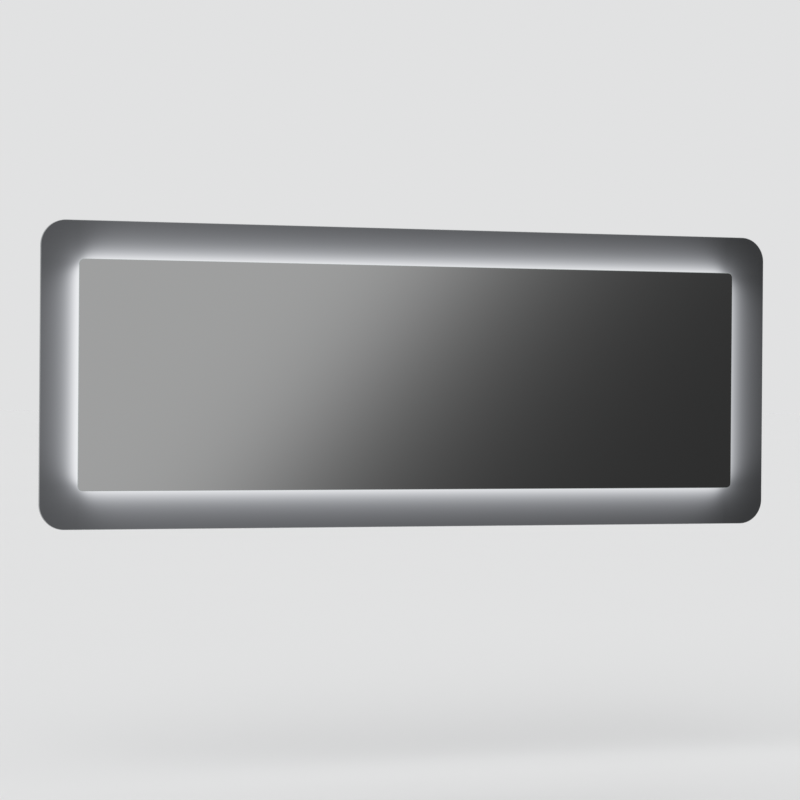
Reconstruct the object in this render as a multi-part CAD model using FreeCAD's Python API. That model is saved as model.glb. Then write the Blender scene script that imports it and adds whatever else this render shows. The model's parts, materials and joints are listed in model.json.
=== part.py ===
import FreeCAD, Part
import math
import os

# Lighted bathroom mirror that hangs on a wall. All sizes are in millimetres.
# The origin is the middle of the wall rail's row of fixing slots, on the wall plane.
# X runs to the right and Z up. The wall is the plane Y = 0 and the front faces -Y.
# Everything but the wall rail belongs to the mirror unit, which lifts off the rail.

# Glass: a satin panel with a smaller silvered mirror bonded to its front.
panel_width = 1550.0
panel_height = 600.0
panel_thickness = 6.0
panel_corner = 50.0
border = 75.0               # satin glass left showing round the mirror
mirror_thickness = 5.0
mirror_corner = 10.0
arris = 0.8                 # ground edge on both panes
mirror_tape_thickness = 1.2
mirror_tape_width = 20.0
mirror_tape_inset = 8.0     # from the mirror's edge
mirror_tape_bands = 3       # upright bands inside the outer ring
tape_end_gap = 2.0
film_thickness = 0.2
film_edge_gap = 1.0

# Rear frame: four mitred extrusions with a channel for the lights on the outer side.
rear_gap = 4.0              # wall to the frame's rear face
frame_depth = 30.0
frame_width = 22.0
frame_wall = 1.6
frame_inset = 7.0           # mirror outline to the frame's outer face
chamber_width = 14.0        # closed chamber, measured over its walls
channel_width = 12.8        # between the channel's side walls
lip_height = 1.2
lip_thickness = 1.4
glass_tape_thickness = 1.0
glass_tape_width = 18.0

# Corner keys inside the frame's chambers.
key_clearance = 0.2
key_arm = 60.0
key_depth = 14.0
key_screw_step = 40.0       # from the key's outer corner along each arm

# Lights: a strip of chips on each side, behind a snap-in diffuser.
strip_end_gap = 26.0        # mirror corner to the end of each strip
board_width = 10.0
board_thickness = 0.8
chip_pitch = 33.3
chip_length = 3.5
chip_width = 2.8
chip_height = 0.8
diffuser_wall = 1.4
diffuser_cover = 0.4        # past the channel's lips on each side
diffuser_leg = 1.2
diffuser_leg_depth = 3.1
diffuser_barb = 0.7
diffuser_lead_in = 0.6      # slope at the foot of each leg
diffuser_edge = 0.5         # broken edge of the face
snap_clearance = 0.15
end_cap_thickness = 2.0
end_cap_wire_room = 3.2     # left open above the channel floor
wire_width = 4.4            # flat two-core lead round the corners
wire_thickness = 1.3
wire_lift = 0.25            # above the board
wire_bend = 4.0
wire_lap = 5.0              # over the strip's solder pads

# Upright braces between the top and bottom rails.
brace_from_rail_end = 20.0
brace_web = 30.0
brace_foot = 12.0
brace_wall = 1.5
brace_rear = 16.0           # wall to the brace's rear face
brace_tab_reach = 10.0
brace_tab_width = 26.0
fit_gap = 0.2               # brace and tray ends to the rails
backing_tape_width = 10.0
backing_tape_end = 20.0      # from each end of the opening

# Hanging rails: both are hooked strips of the same thickness.
rail_length = 900.0
rail_thickness = 3.0
rail_below = 16.0           # below the row of slots
rail_above = 14.0           # up to the seat of the hook
rail_offset = 10.0          # wall to the front of the wall rail's lip
hook_depth = 12.0           # how far the mirror has to rise to come free
hook_gap = 0.3              # between the two lips
hook_head = 3.0             # above the wall rail's lip
hang_plate = 26.0           # flat of the mirror's rail above its hook
hang_gap = 13.0             # from there up to the frame's top rail
rail_edge = 0.6             # broken edge of both lips
slot_width = 7.0
slot_length = 16.0
outer_slot_from_end = 50.0
inner_slot_x = 200.0
hang_screw_rows = (9.0, 20.0)    # up from the hook's top

# Tray for the electrical parts, between the rails in the middle.
tray_side_room = 10.0       # from the feed lead's middle to the tray's side
tray_wall = 1.2
tray_side = 10.0
tray_end = 26.0
tray_screw_x = 100.0
tray_screw_height = 16.4    # above the tray's floor
lead_height = 13.8          # middle of the leads above the tray's floor

# Driver: the low-voltage supply of the lights. It lies along the lower rail.
driver_x = -15.0
driver_rise = 50.0          # from the lower rail up to the driver's middle
driver_length = 162.0
driver_width = 46.0
driver_height = 26.0
driver_wall = 1.6
driver_ear = 12.0
driver_ear_hole = 15.0      # from the driver's middle line, on opposite sides
driver_corner = 3.0
driver_chamfer = 1.2
driver_lip = 2.0            # how far the lid reaches into the base
driver_lip_wall = 1.2
driver_lip_gap = 0.3
driver_post = 6.0
driver_post_from_end = 12.0
driver_post_from_side = 4.0
circuit_board_thickness = 1.6
circuit_board_lift = 3.0
circuit_board_gap = 1.0
circuit_board_corner = 1.0
circuit_legs = 0.5          # the parts' feet sink this far into the board
# Parts on the circuit board, from the driver's middle: (along, up, length, width, tall).
circuit_blocks = ((9.0, 0.0, 28.0, 26.0, 14.5), (-40.0, 0.0, 6.0, 30.0, 13.0),
                  (46.0, 4.0, 16.0, 16.0, 10.0))
# Capacitors: (along, up, radius, tall).
circuit_cans = ((-20.0, -9.0, 6.0, 14.0), (-20.0, 8.0, 5.0, 12.0), (31.0, -9.0, 5.0, 13.0),
                (-56.0, 9.0, 4.0, 10.0))
can_sides = 10
bushing_radius = 5.0
bushing_length = 9.0
bushing_groove = 0.8
bushing_flange = 1.5
bushing_inner = 3.0
bushing_nose = 1.2
bushing_gap = 0.2           # round the bushing's inner end

# Junction box for the mains supply, above the driver.
box_x = 0.0
box_rise = 85.0             # from the driver's middle up to the box's middle
box_width = 80.0
box_height = 60.0
box_depth = 23.0
box_wall = 2.0
box_corner = 4.0
box_screw_x = 20.0
box_screw_z = 15.0
box_lid_thickness = 2.5
box_lid_chamfer = 0.8
box_lid_lip = 1.2
box_lid_lip_wall = 1.5
box_lid_gap = 0.3
box_boss = 7.0
box_boss_inset = 6.5
terminal_width = 36.0
terminal_height = 22.0
terminal_depth = 14.0
terminal_corner = 1.5
terminal_poles = 3
terminal_way = 4.2
terminal_slit = 1.0
terminal_slit_depth = 4.0

# Cable glands, leads and clips. Turned plastic parts are twelve-sided.
turned_sides = 12
gland_thread_radius = 6.0
gland_thread_length = 8.0
gland_flats = 14.0
gland_hex_length = 5.0
gland_cap_radius = 7.2
gland_cap_length = 11.0
gland_cap_straight = 6.0
gland_cap_end = 5.0         # radius of the cap's end
gland_cap_mouth = 4.0
gland_cap_wall = 1.5
gland_nut_length = 3.5
gland_bore = 4.6
seal_length = 9.0
supply_bore = 3.5           # takes a mains cord of up to 7 mm
link_diameter = 6.0
link_reach = 49.0           # past the driver's end before the lead turns up
feed_diameter = 4.2
feed_reach = 34.0           # past the driver's other end before the lead turns down
feed_hole_gap = 0.3
lead_clearance = 0.05
grommet_radius = 4.0
grommet_flange = 6.0
grommet_flange_length = 1.5
clip_width = 8.0
clip_wall = 1.3
clip_foot = 14.0

# Rubber spacers that keep the lower edge off the wall.
spacer_inset = 111.0        # from the frame's inner side
spacer_length = 34.0
spacer_corner = 4.0
spacer_edge_gap = 1.0       # to the edges of the chamber's rear wall

# Screws: radius, width of the hexagon head across its flats, and head height.
screw_sizes = {"m3": (1.5, 5.5, 1.7), "m4": (2.0, 7.0, 2.2), "m5": (2.5, 8.0, 2.6)}
thread_sides = 8            # threads and their holes are eight-sided
screw_clearance = 0.15

cut_over = 1.0              # how far a cut runs past the faces that it opens
tiny = 1e-6
key_screw_length = 9.0
brace_screw_length = 7.0
tray_screw_length = 6.0
hang_screw_length = 9.0
driver_screw_length = 2.6
box_screw_length = 3.0
lid_screw_length = 10.0

# Sizes that follow from the ones above.
mirror_width = panel_width - 2 * border
mirror_height = panel_height - 2 * border
frame_outer_width = mirror_width - 2 * frame_inset
frame_outer_height = mirror_height - 2 * frame_inset
opening_width = frame_outer_width - 2 * frame_width
opening_height = frame_outer_height - 2 * frame_width
hook_top = rail_above + hook_depth + hook_head + rail_thickness
middle_z = hook_top + hang_plate + hang_gap - opening_height / 2
opening_bottom = middle_z - opening_height / 2
frame_rear = -rear_gap
frame_front = frame_rear - frame_depth
panel_rear = frame_front - glass_tape_thickness
panel_front = panel_rear - panel_thickness
mirror_rear = panel_front - mirror_tape_thickness
mirror_front = mirror_rear - mirror_thickness
channel_y = frame_rear - frame_depth / 2
tray_floor = frame_front + tray_wall
lead_y = tray_floor + lead_height
driver_z = opening_bottom + driver_rise
box_z = driver_z + box_rise
feed_x = driver_x - driver_length / 2 - feed_reach
tray_width = 2 * (tray_side_room - feed_x)
brace_x = rail_length / 2 - brace_from_rail_end
outer_slot_x = rail_length / 2 - outer_slot_from_end
spacer_x = opening_width / 2 - spacer_inset


# Basic shapes.

def vec(x, y, z):
    return FreeCAD.Vector(x, y, z)


def block(x_range, y_range, z_range):
    low = [min(pair) for pair in (x_range, y_range, z_range)]
    size = [abs(pair[1] - pair[0]) for pair in (x_range, y_range, z_range)]
    return Part.makeBox(size[0], size[1], size[2], vec(*low))


def around(middle, size):
    return (middle - size / 2, middle + size / 2)


def rod(radius, start, direction, length):
    return Part.makeCylinder(radius, length, start, direction)


def flat(points):
    return Part.Face(Part.makePolygon([vec(*p) for p in points + points[:1]]))


def rounded_plate(width, height, radius, rear, thickness, middle=(0.0, 0.0)):
    # A plate in the XZ plane with round corners, from its rear face towards the front.
    x, z = middle
    plate = block(around(x, width), (rear, rear - thickness), around(z, height))
    corners = [e for e in plate.Edges if abs(e.tangentAt(e.FirstParameter).y) > 0.9]
    return plate.makeFillet(radius, corners)


def front_and_rear_edges(plate, *faces_y):
    return [e for e in plate.Edges
            if all(any(abs(v.Y - y) < tiny for y in faces_y) for v in e.Vertexes)
            and abs(e.BoundBox.YLength) < tiny]


def ring_of(sides, radius, start, direction):
    # Regular polygon round start, square to direction, with its corners at radius.
    turns = [math.radians(360 * k / sides) for k in range(sides + 1)]
    ring = Part.makePolygon([vec(radius * math.cos(a), radius * math.sin(a), 0) for a in turns])
    ring.Placement = FreeCAD.Placement(start, FreeCAD.Rotation(vec(0, 0, 1), direction))
    return ring


def prism(sides, radius, start, direction, length):
    return Part.Face(ring_of(sides, radius, start, direction)).extrude(direction * length)


def taper(sides, radius, end_radius, start, direction, length):
    rings = [ring_of(sides, radius, start, direction),
             ring_of(sides, end_radius, start + direction * length, direction)]
    return Part.makeLoft(rings, True, True)


def turned(steps, bore, start, direction):
    # Stacks (radius, end radius, from, to) steps along direction and bores them through.
    parts = [taper(turned_sides, first, last, start + direction * low, direction, high - low)
             for first, last, low, high in steps]
    low, high = steps[0][2], steps[-1][3]
    hole = through(bore, start + direction * low, direction, high - low)
    return joined(parts).cut(hole)


def through(radius, start, direction, length):
    # Bore that runs past both of its ends.
    return prism(turned_sides, radius, start - direction * cut_over, direction,
                 length + 2 * cut_over)


def screw(size, seat, direction, length):
    # Hexagon screw: direction points from the head's seat to the tip.
    radius, flats, head_height = screw_sizes[size]
    head = prism(6, flats / math.sqrt(3), seat - direction * head_height, direction, head_height)
    return joined([head, prism(thread_sides, radius, seat, direction, length)])


def set_screw(size, end, direction, length):
    return prism(thread_sides, screw_sizes[size][0], end, direction, length)


def screw_hole(size, seat, direction, length):
    start = seat - direction * screw_clearance
    return prism(thread_sides, screw_sizes[size][0] + screw_clearance, start, direction,
                 length + 2 * screw_clearance)


def joined(shapes):
    return shapes[0].multiFuse(shapes[1:]).removeSplitter()


def drilled(shape, holes):
    for hole in holes:
        shape = shape.cut(hole)
    return shape


# The four sides of the frame share one drawing, made for the top side: its outward
# direction is +Z and Z = 0 is the frame's inner face. It is then turned to its side.

side_turns = {"top": 0, "right": 90, "bottom": 180, "left": 270}


def side_length(side, width, height):
    return width if side in ("top", "bottom") else height


def on_side(shape, side):
    turned = shape.copy()
    turned.rotate(vec(0, 0, 0), vec(0, 1, 0), side_turns[side])
    reach = side_length(side, opening_height, opening_width) / 2
    angle = math.radians(side_turns[side])
    turned.translate(vec(reach * math.sin(angle), 0, reach * math.cos(angle) + middle_z))
    return turned


def section(points):
    # Outline in (outward, depth) distances, drawn in the YZ plane of the top side.
    return flat([(0, frame_rear - depth, outward) for outward, depth in points])


def run_of(face, length):
    solid = face.extrude(vec(length, 0, 0))
    solid.translate(vec(-length / 2, 0, 0))
    return solid


def frame_section():
    side_low = (frame_depth - channel_width) / 2
    side_high = side_low + channel_width
    lip_start = frame_width - lip_thickness
    flange = frame_depth - frame_wall
    outline = section([
        (0, 0), (chamber_width, 0), (chamber_width, side_low - frame_wall),
        (frame_width, side_low - frame_wall), (frame_width, side_low + lip_height),
        (lip_start, side_low + lip_height), (lip_start, side_low), (chamber_width, side_low),
        (chamber_width, side_high), (lip_start, side_high), (lip_start, side_high - lip_height),
        (frame_width, side_high - lip_height), (frame_width, side_high + frame_wall),
        (chamber_width, side_high + frame_wall), (chamber_width, flange),
        (frame_width, flange), (frame_width, frame_depth), (0, frame_depth)])
    chamber = section([
        (frame_wall, frame_wall), (chamber_width - frame_wall, frame_wall),
        (chamber_width - frame_wall, flange), (frame_wall, flange)])
    return outline.cut(chamber).Faces[0]


def mitred_rail(side):
    length = side_length(side, frame_outer_width, frame_outer_height)
    half = length / 2
    inner = half - frame_width
    mitre = flat([(-half, frame_rear, frame_width), (half, frame_rear, frame_width),
                  (inner, frame_rear, 0), (-inner, frame_rear, 0)])
    rail = run_of(frame_section(), length).common(mitre.extrude(vec(0, -frame_depth, 0)))
    return on_side(rail, side)


# Screw places that two or more pieces share: (size, seat, direction, length).

def key_screws():
    places = []
    key_outer = frame_width - chamber_width + frame_wall + key_clearance
    row = key_outer + (chamber_width - 2 * frame_wall) / 2 - key_clearance
    for sx in (-1, 1):
        for sz in (-1, 1):
            across = row - key_outer
            for along_x, along_z in ((key_screw_step, across), (across, key_screw_step)):
                x = sx * (frame_outer_width / 2 - key_outer - along_x)
                z = middle_z + sz * (frame_outer_height / 2 - key_outer - along_z)
                places.append(("m4", vec(x, frame_rear, z), vec(0, -1, 0), key_screw_length))
    return places


def rail_end_screws(x, y, wall, length):
    # One screw through an end tab into the top rail and one into the bottom rail.
    reach = opening_height / 2 - fit_gap - wall
    return [("m4", vec(x, y, middle_z + sz * reach), vec(0, 0, sz), length) for sz in (-1, 1)]


def brace_screws():
    y = -brace_rear + brace_tab_reach / 2
    places = []
    for sx in (-1, 1):
        places += rail_end_screws(sx * brace_x, y, brace_wall, brace_screw_length)
    return places


def tray_screws():
    y = tray_floor + tray_screw_height
    places = []
    for sx in (-1, 1):
        places += rail_end_screws(sx * tray_screw_x, y, tray_wall, tray_screw_length)
    return places


def hang_screws():
    seat_y = -brace_rear + rail_thickness
    return [("m5", vec(sx * brace_x, seat_y, hook_top + row), vec(0, -1, 0), hang_screw_length)
            for sx in (-1, 1) for row in hang_screw_rows]


def driver_screws():
    places = []
    for end in (-1, 1):
        x = driver_x + end * (driver_length / 2 + driver_ear / 2)
        seat = vec(x, tray_floor + driver_wall, driver_z + end * driver_ear_hole)
        places.append(("m3", seat, vec(0, -1, 0), driver_screw_length))
    return places


def box_screws():
    y = tray_floor + box_wall
    return [("m3", vec(box_x + sx * box_screw_x, y, box_z - box_screw_z), vec(0, -1, 0),
             box_screw_length) for sx in (-1, 1)]


def lid_screws():
    # Two, in opposite corners.
    y = tray_floor + box_depth + box_lid_thickness
    dx = box_width / 2 - box_boss_inset
    dz = box_height / 2 - box_boss_inset
    return [("m3", vec(box_x + s * dx, y, box_z - s * dz), vec(0, -1, 0), lid_screw_length)
            for s in (-1, 1)]


def holes_for(places):
    return [screw_hole(*place) for place in places]


# Leads. Each follows straight runs joined by tangent arcs, which start 0.45 of the
# shorter run away from the corner.

arc_share = 0.45


def arc_start(before, corner, after):
    return arc_share * min((corner - before).Length, (after - corner).Length)


def lead(points, diameter):
    edges = []
    start = points[0]
    length = 0.0
    for before, corner, after in zip(points, points[1:], points[2:]):
        first = (corner - before).normalize()
        second = (after - corner).normalize()
        half_turn = first.getAngle(second) / 2
        back = arc_start(before, corner, after)
        bend = back / math.tan(half_turn)
        into = corner - first * back
        out = corner + second * back
        middle = corner + (second - first).normalize() * bend * (1 / math.cos(half_turn) - 1)
        edges += [Part.LineSegment(start, into), Part.Arc(into, middle, out)]
        length += (into - start).Length + 2 * half_turn * bend
        start = out
        print("bend radius", round(bend, 1), "of a lead of diameter", diameter)
    edges.append(Part.LineSegment(start, points[-1]))
    length += (points[-1] - start).Length
    path = Part.Wire([edge.toShape() for edge in edges])
    direction = (points[1] - points[0]).normalize()
    ring = ring_of(turned_sides, diameter / 2, points[0], direction)
    tube = path.makePipeShell([ring], True, False)
    expected = Part.Face(ring).Area * length
    print("lead volume", round(tube.Volume, 1), "expected", round(expected, 1))
    return tube


def link_route():
    # Out of the driver's right end, up, and back into the junction box's right side.
    driver_end = driver_x + driver_length / 2
    turn_x = driver_end + link_reach
    return [vec(driver_end - bushing_length, lead_y, driver_z), vec(turn_x, lead_y, driver_z),
            vec(turn_x, lead_y, box_z),
            vec(box_x + box_width / 2 - gland_thread_length - box_wall, lead_y, box_z)]


def feed_route():
    # Out of the driver's left end and down into the lower rail's light channel.
    driver_end = driver_x - driver_length / 2
    return [vec(driver_end + bushing_length, lead_y, driver_z), vec(feed_x, lead_y, driver_z),
            vec(feed_x, lead_y, opening_bottom - chamber_width)]


# Pieces.

def satin_panel():
    plate = rounded_plate(panel_width, panel_height, panel_corner, panel_rear,
                          panel_thickness, (0.0, middle_z))
    return plate.makeChamfer(arris, front_and_rear_edges(plate, panel_rear, panel_front))


def mirror_pane():
    plate = rounded_plate(mirror_width, mirror_height, mirror_corner, mirror_rear,
                          mirror_thickness, (0.0, middle_z))
    return plate.makeChamfer(arris, front_and_rear_edges(plate, mirror_rear, mirror_front))


def mirror_tape():
    depth = (panel_front, mirror_rear)
    half_x = mirror_width / 2 - mirror_tape_inset
    half_z = mirror_height / 2 - mirror_tape_inset
    strips = []
    for sz in (-1, 1):
        edge = middle_z + sz * half_z
        strips.append(block((-half_x, half_x), depth, (edge, edge - sz * mirror_tape_width)))
    upright = around(middle_z, 2 * (half_z - mirror_tape_width - tape_end_gap))
    span = 2 * half_x - mirror_tape_width
    for index in range(mirror_tape_bands + 2):
        x = -span / 2 + span * index / (mirror_tape_bands + 1)
        strips.append(block(around(x, mirror_tape_width), depth, upright))
    return strips


def safety_film():
    return block(around(0, opening_width - 2 * film_edge_gap),
                 (panel_rear, panel_rear + film_thickness),
                 around(middle_z, opening_height - 2 * film_edge_gap))


def glass_tape():
    middle = frame_width / 2
    strips = []
    for side in side_turns:
        length = side_length(side, frame_outer_width, frame_outer_height)
        shorten = frame_width + glass_tape_width if side in ("left", "right") else 2 * tape_end_gap
        strip = block(around(0, length - shorten - 2 * tape_end_gap), (frame_front, panel_rear),
                      around(middle, glass_tape_width))
        strips.append(on_side(strip, side))
    return strips


def frame_rail(side):
    rail = drilled(mitred_rail(side), [
        hole for place, hole in zip(key_screws(), holes_for(key_screws()))
        if screw_on_side(place[1], side)])
    if side in ("top", "bottom"):
        rail = drilled(rail, holes_for(brace_screws() + tray_screws()))
    if side == "bottom":
        down = vec(0, 0, -1)
        mouth = vec(feed_x, lead_y, opening_bottom)
        entry = through(grommet_radius + lead_clearance, mouth, down, frame_wall)
        outlet = through(feed_diameter / 2 + feed_hole_gap, mouth, down, chamber_width)
        rail = drilled(rail, [entry, outlet])
    return rail


def screw_on_side(seat, side):
    # True where a corner screw sits in this side's rail and not in its neighbour's.
    from_side = frame_outer_width / 2 - abs(seat.x)
    from_end = frame_outer_height / 2 - abs(seat.z - middle_z)
    upright = from_side < from_end
    if side in ("left", "right"):
        return upright and (seat.x > 0) == (side == "right")
    return not upright and (seat.z > middle_z) == (side == "top")


def corner_keys():
    outer = frame_width - chamber_width + frame_wall + key_clearance
    thick = chamber_width - 2 * frame_wall - 2 * key_clearance
    rear = frame_rear - frame_wall - key_clearance
    keys = []
    for sx in (-1, 1):
        for sz in (-1, 1):
            x = frame_outer_width / 2 - outer
            z = frame_outer_height / 2 - outer
            corner = [(x, z), (x - key_arm, z), (x - key_arm, z - thick), (x - thick, z - thick),
                      (x - thick, z - key_arm), (x, z - key_arm)]
            face = flat([(sx * px, rear, middle_z + sz * pz) for px, pz in corner])
            key = face.extrude(vec(0, -key_depth, 0))
            near = [hole for place, hole in zip(key_screws(), holes_for(key_screws()))
                    if place[1].x * sx > 0 and (place[1].z - middle_z) * sz > 0]
            keys.append(drilled(key, near))
    return keys


def strip_length(side):
    return side_length(side, mirror_width, mirror_height) - 2 * strip_end_gap


def led_strip(side):
    length = strip_length(side)
    top = chamber_width + board_thickness
    pieces = [block(around(0, length), around(channel_y, board_width), (chamber_width, top))]
    count = int((length - chip_pitch) / chip_pitch) + 1
    for index in range(count):
        x = (index - (count - 1) / 2) * chip_pitch
        pieces.append(block(around(x, chip_length), around(channel_y, chip_width),
                            (top, top + chip_height)))
    return on_side(joined(pieces), side)


def diffuser_points():
    # Half of the diffuser's outline, from the middle of its face round to the inside.
    lip_edge = channel_width / 2 - lip_height
    leg_out = lip_edge - snap_clearance
    leg_in = leg_out - diffuser_leg
    cover = channel_width / 2 + diffuser_cover
    foot = frame_width - diffuser_leg_depth
    barb_top = frame_width - lip_thickness - snap_clearance
    face = frame_width + diffuser_wall
    return [(face, cover - diffuser_edge), (face - diffuser_edge, cover),
            (frame_width, cover), (frame_width, leg_out), (barb_top, leg_out),
            (barb_top, leg_out + diffuser_barb), (foot + diffuser_lead_in, leg_out + diffuser_barb),
            (foot, leg_out), (foot, leg_in), (frame_width, leg_in)]


def diffuser(side):
    half = diffuser_points()
    middle = frame_depth / 2
    points = [(u, middle + v) for u, v in half] + [(u, middle - v) for u, v in reversed(half)]
    return on_side(run_of(section(points), strip_length(side)), side)


def end_caps():
    top = frame_width + diffuser_wall
    lip_edge = channel_width / 2 - lip_height - snap_clearance
    cover = channel_width / 2 + diffuser_cover
    middle = frame_depth / 2
    half = [(top, cover), (frame_width, cover), (frame_width, lip_edge),
            (chamber_width + end_cap_wire_room, lip_edge)]
    points = [(u, middle + v) for u, v in half] + [(u, middle - v) for u, v in reversed(half)]
    caps = []
    for side in side_turns:
        for end in (-1, 1):
            cap = run_of(section(points), end_cap_thickness)
            cap.translate(vec(end * (strip_length(side) + end_cap_thickness) / 2, 0, 0))
            caps.append(on_side(cap, side))
    return caps


def corner_wires():
    # A flat lead round every corner but the lower right one joins the strips in a row.
    height = chamber_width + board_thickness + wire_lift + wire_thickness
    x = opening_width / 2 + height
    z = opening_height / 2 + height
    strip_x = mirror_width / 2 - strip_end_gap - wire_lap
    strip_z = mirror_height / 2 - strip_end_gap - wire_lap
    wires = []
    for sx, sz in ((-1, -1), (-1, 1), (1, 1)):
        outer = bent_line(x, z, strip_x, strip_z, wire_bend + wire_thickness / 2)
        inner = bent_line(x - wire_thickness, z - wire_thickness, strip_x, strip_z,
                          wire_bend - wire_thickness / 2)
        ends = [Part.LineSegment(outer[0], inner[0]).toShape(),
                Part.LineSegment(outer[-1], inner[-1]).toShape()]
        ring = Part.Wire(Part.__sortEdges__(outer[1] + inner[1] + ends))
        wire = Part.Face(ring).extrude(vec(0, wire_width, 0))
        wire.translate(vec(0, channel_y - wire_width / 2, 0))
        if sx < 0:
            wire = wire.mirror(vec(0, 0, 0), vec(1, 0, 0))
        if sz < 0:
            wire = wire.mirror(vec(0, 0, 0), vec(0, 0, 1))
        wire.translate(vec(0, 0, middle_z))
        wires.append(wire)
    return wires


def bent_line(x, z, start_x, end_z, radius):
    # Edges of a line along X, a quarter arc and a line down Z, with both end points.
    first, last = vec(start_x, 0, z), vec(x, 0, end_z)
    into, out = vec(x - radius, 0, z), vec(x, 0, z - radius)
    half = radius * math.sqrt(0.5)
    middle = vec(x - radius + half, 0, z - radius + half)
    edges = [Part.LineSegment(first, into), Part.Arc(into, middle, out), Part.LineSegment(out, last)]
    return first, [edge.toShape() for edge in edges], last


def brace(sx):
    half = brace_web / 2
    inner = half - brace_wall
    foot = half + brace_foot
    rear = -brace_rear
    front = frame_front
    outline = [(-foot, front), (-inner, front), (-inner, rear - brace_wall),
               (inner, rear - brace_wall), (inner, front), (foot, front),
               (foot, front + brace_wall), (half, front + brace_wall), (half, rear),
               (-half, rear), (-half, front + brace_wall), (-foot, front + brace_wall)]
    reach = opening_height / 2 - fit_gap
    hat = flat([(x + sx * brace_x, y, middle_z - reach) for x, y in outline])
    pieces = [hat.extrude(vec(0, 0, 2 * reach))]
    for end in (-1, 1):
        z = middle_z + end * reach
        pieces.append(block(around(sx * brace_x, brace_tab_width),
                            (rear - brace_wall, rear + brace_tab_reach),
                            (z, z - end * brace_wall)))
    return drilled(joined(pieces), holes_for(brace_screws() + hang_screws()))


def tray():
    reach = opening_height / 2 - fit_gap
    half = tray_width / 2
    z_range = around(middle_z, 2 * reach)
    pieces = [block((-half, half), (frame_front, tray_floor), z_range)]
    for s in (-1, 1):
        pieces.append(block((s * half, s * (half - tray_wall)),
                            (frame_front, tray_floor + tray_side), z_range))
        z = middle_z + s * reach
        pieces.append(block((-half, half), (frame_front, tray_floor + tray_end),
                            (z, z - s * tray_wall)))
    holes = holes_for(tray_screws() + driver_screws() + box_screws())
    holes.append(through(grommet_radius + lead_clearance, vec(feed_x, lead_y, middle_z - reach),
                         vec(0, 0, 1), tray_wall))
    return drilled(joined(pieces), holes)


def backing_tape():
    depth = (frame_front, panel_rear + film_thickness)
    z_range = around(middle_z, opening_height - 2 * backing_tape_end)
    strips = []
    for sx in (-1, 1):
        for offset in around(0, brace_web + brace_foot):
            strips.append(block(around(sx * brace_x + offset, backing_tape_width), depth, z_range))
    for x in (-tray_width / 3, 0.0, tray_width / 3):
        strips.append(block(around(x, backing_tape_width), depth, z_range))
    return strips


def rail_body(points):
    face = flat([(-rail_length / 2, y, z) for y, z in points])
    return face.extrude(vec(rail_length, 0, 0))


def slot(x):
    straight = slot_length - slot_width
    parts = [block(around(x, straight), (cut_over, -rail_thickness - cut_over), around(0, slot_width))]
    for cx in around(x, straight):
        parts.append(rod(slot_width / 2, vec(cx, cut_over, 0), vec(0, -1, 0),
                         rail_thickness + 2 * cut_over))
    return joined(parts)


def wall_rail():
    t = rail_thickness
    lip_top = rail_above + hook_depth
    rail = rail_body([
        (0, -rail_below), (-t, -rail_below), (-t, rail_above - t), (-rail_offset, rail_above - t),
        (-rail_offset, lip_top - rail_edge), (-rail_offset + rail_edge, lip_top),
        (-rail_offset + t - rail_edge, lip_top), (-rail_offset + t, lip_top - rail_edge),
        (-rail_offset + t, rail_above), (0, rail_above)])
    places = [s * x for s in (-1, 1) for x in (inner_slot_x, outer_slot_x)]
    return drilled(rail, [slot(x) for x in places])


def hanging_rail():
    t = rail_thickness
    lip_front = -rail_offset + t + hook_gap
    plate_front = -brace_rear
    rail = rail_body([
        (lip_front, hook_top - t), (lip_front, rail_above + rail_edge),
        (lip_front + rail_edge, rail_above), (lip_front + t - rail_edge, rail_above),
        (lip_front + t, rail_above + rail_edge), (lip_front + t, hook_top),
        (plate_front + t, hook_top), (plate_front + t, hook_top + hang_plate),
        (plate_front, hook_top + hang_plate), (plate_front, hook_top - t)])
    return drilled(rail, holes_for(hang_screws()))


def wall_spacers():
    z = opening_bottom - chamber_width / 2
    height = chamber_width - 2 * spacer_edge_gap
    return [rounded_plate(spacer_length, height, spacer_corner, 0.0, rear_gap,
                          (sx * spacer_x, z)) for sx in (-1, 1)]


def open_box(width, height, depth, wall, corner, middle):
    # A box on the tray's floor that is open towards the wall.
    outer = rounded_plate(width, height, corner, tray_floor + depth, depth, middle)
    return outer.cut(block(around(middle[0], width - 2 * wall),
                           (tray_floor + wall, tray_floor + depth + cut_over),
                           around(middle[1], height - 2 * wall)))


def bushing_cuts():
    return [through(bushing_radius + lead_clearance,
                    vec(driver_x + s * driver_length / 2 - driver_wall, lead_y, driver_z),
                    vec(1, 0, 0), 2 * driver_wall) for s in (-1, 1)]


def driver_base():
    middle = (driver_x, driver_z)
    shell = open_box(driver_length, driver_width, lead_height, driver_wall, driver_corner, middle)
    ears = rounded_plate(driver_length + 2 * driver_ear, driver_width, driver_corner,
                         tray_floor + driver_wall, driver_wall, middle)
    pieces = [shell, ears]
    post_top = tray_floor + driver_wall + circuit_board_lift
    dx = driver_length / 2 - driver_wall - driver_post_from_end
    dz = driver_width / 2 - driver_wall - driver_post_from_side
    for sx in (-1, 1):
        for sz in (-1, 1):
            pieces.append(block(around(driver_x + sx * dx, driver_post),
                                (tray_floor + driver_wall / 2, post_top),
                                around(driver_z + sz * dz, driver_post)))
    return drilled(joined(pieces), holes_for(driver_screws()) + bushing_cuts())


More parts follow.
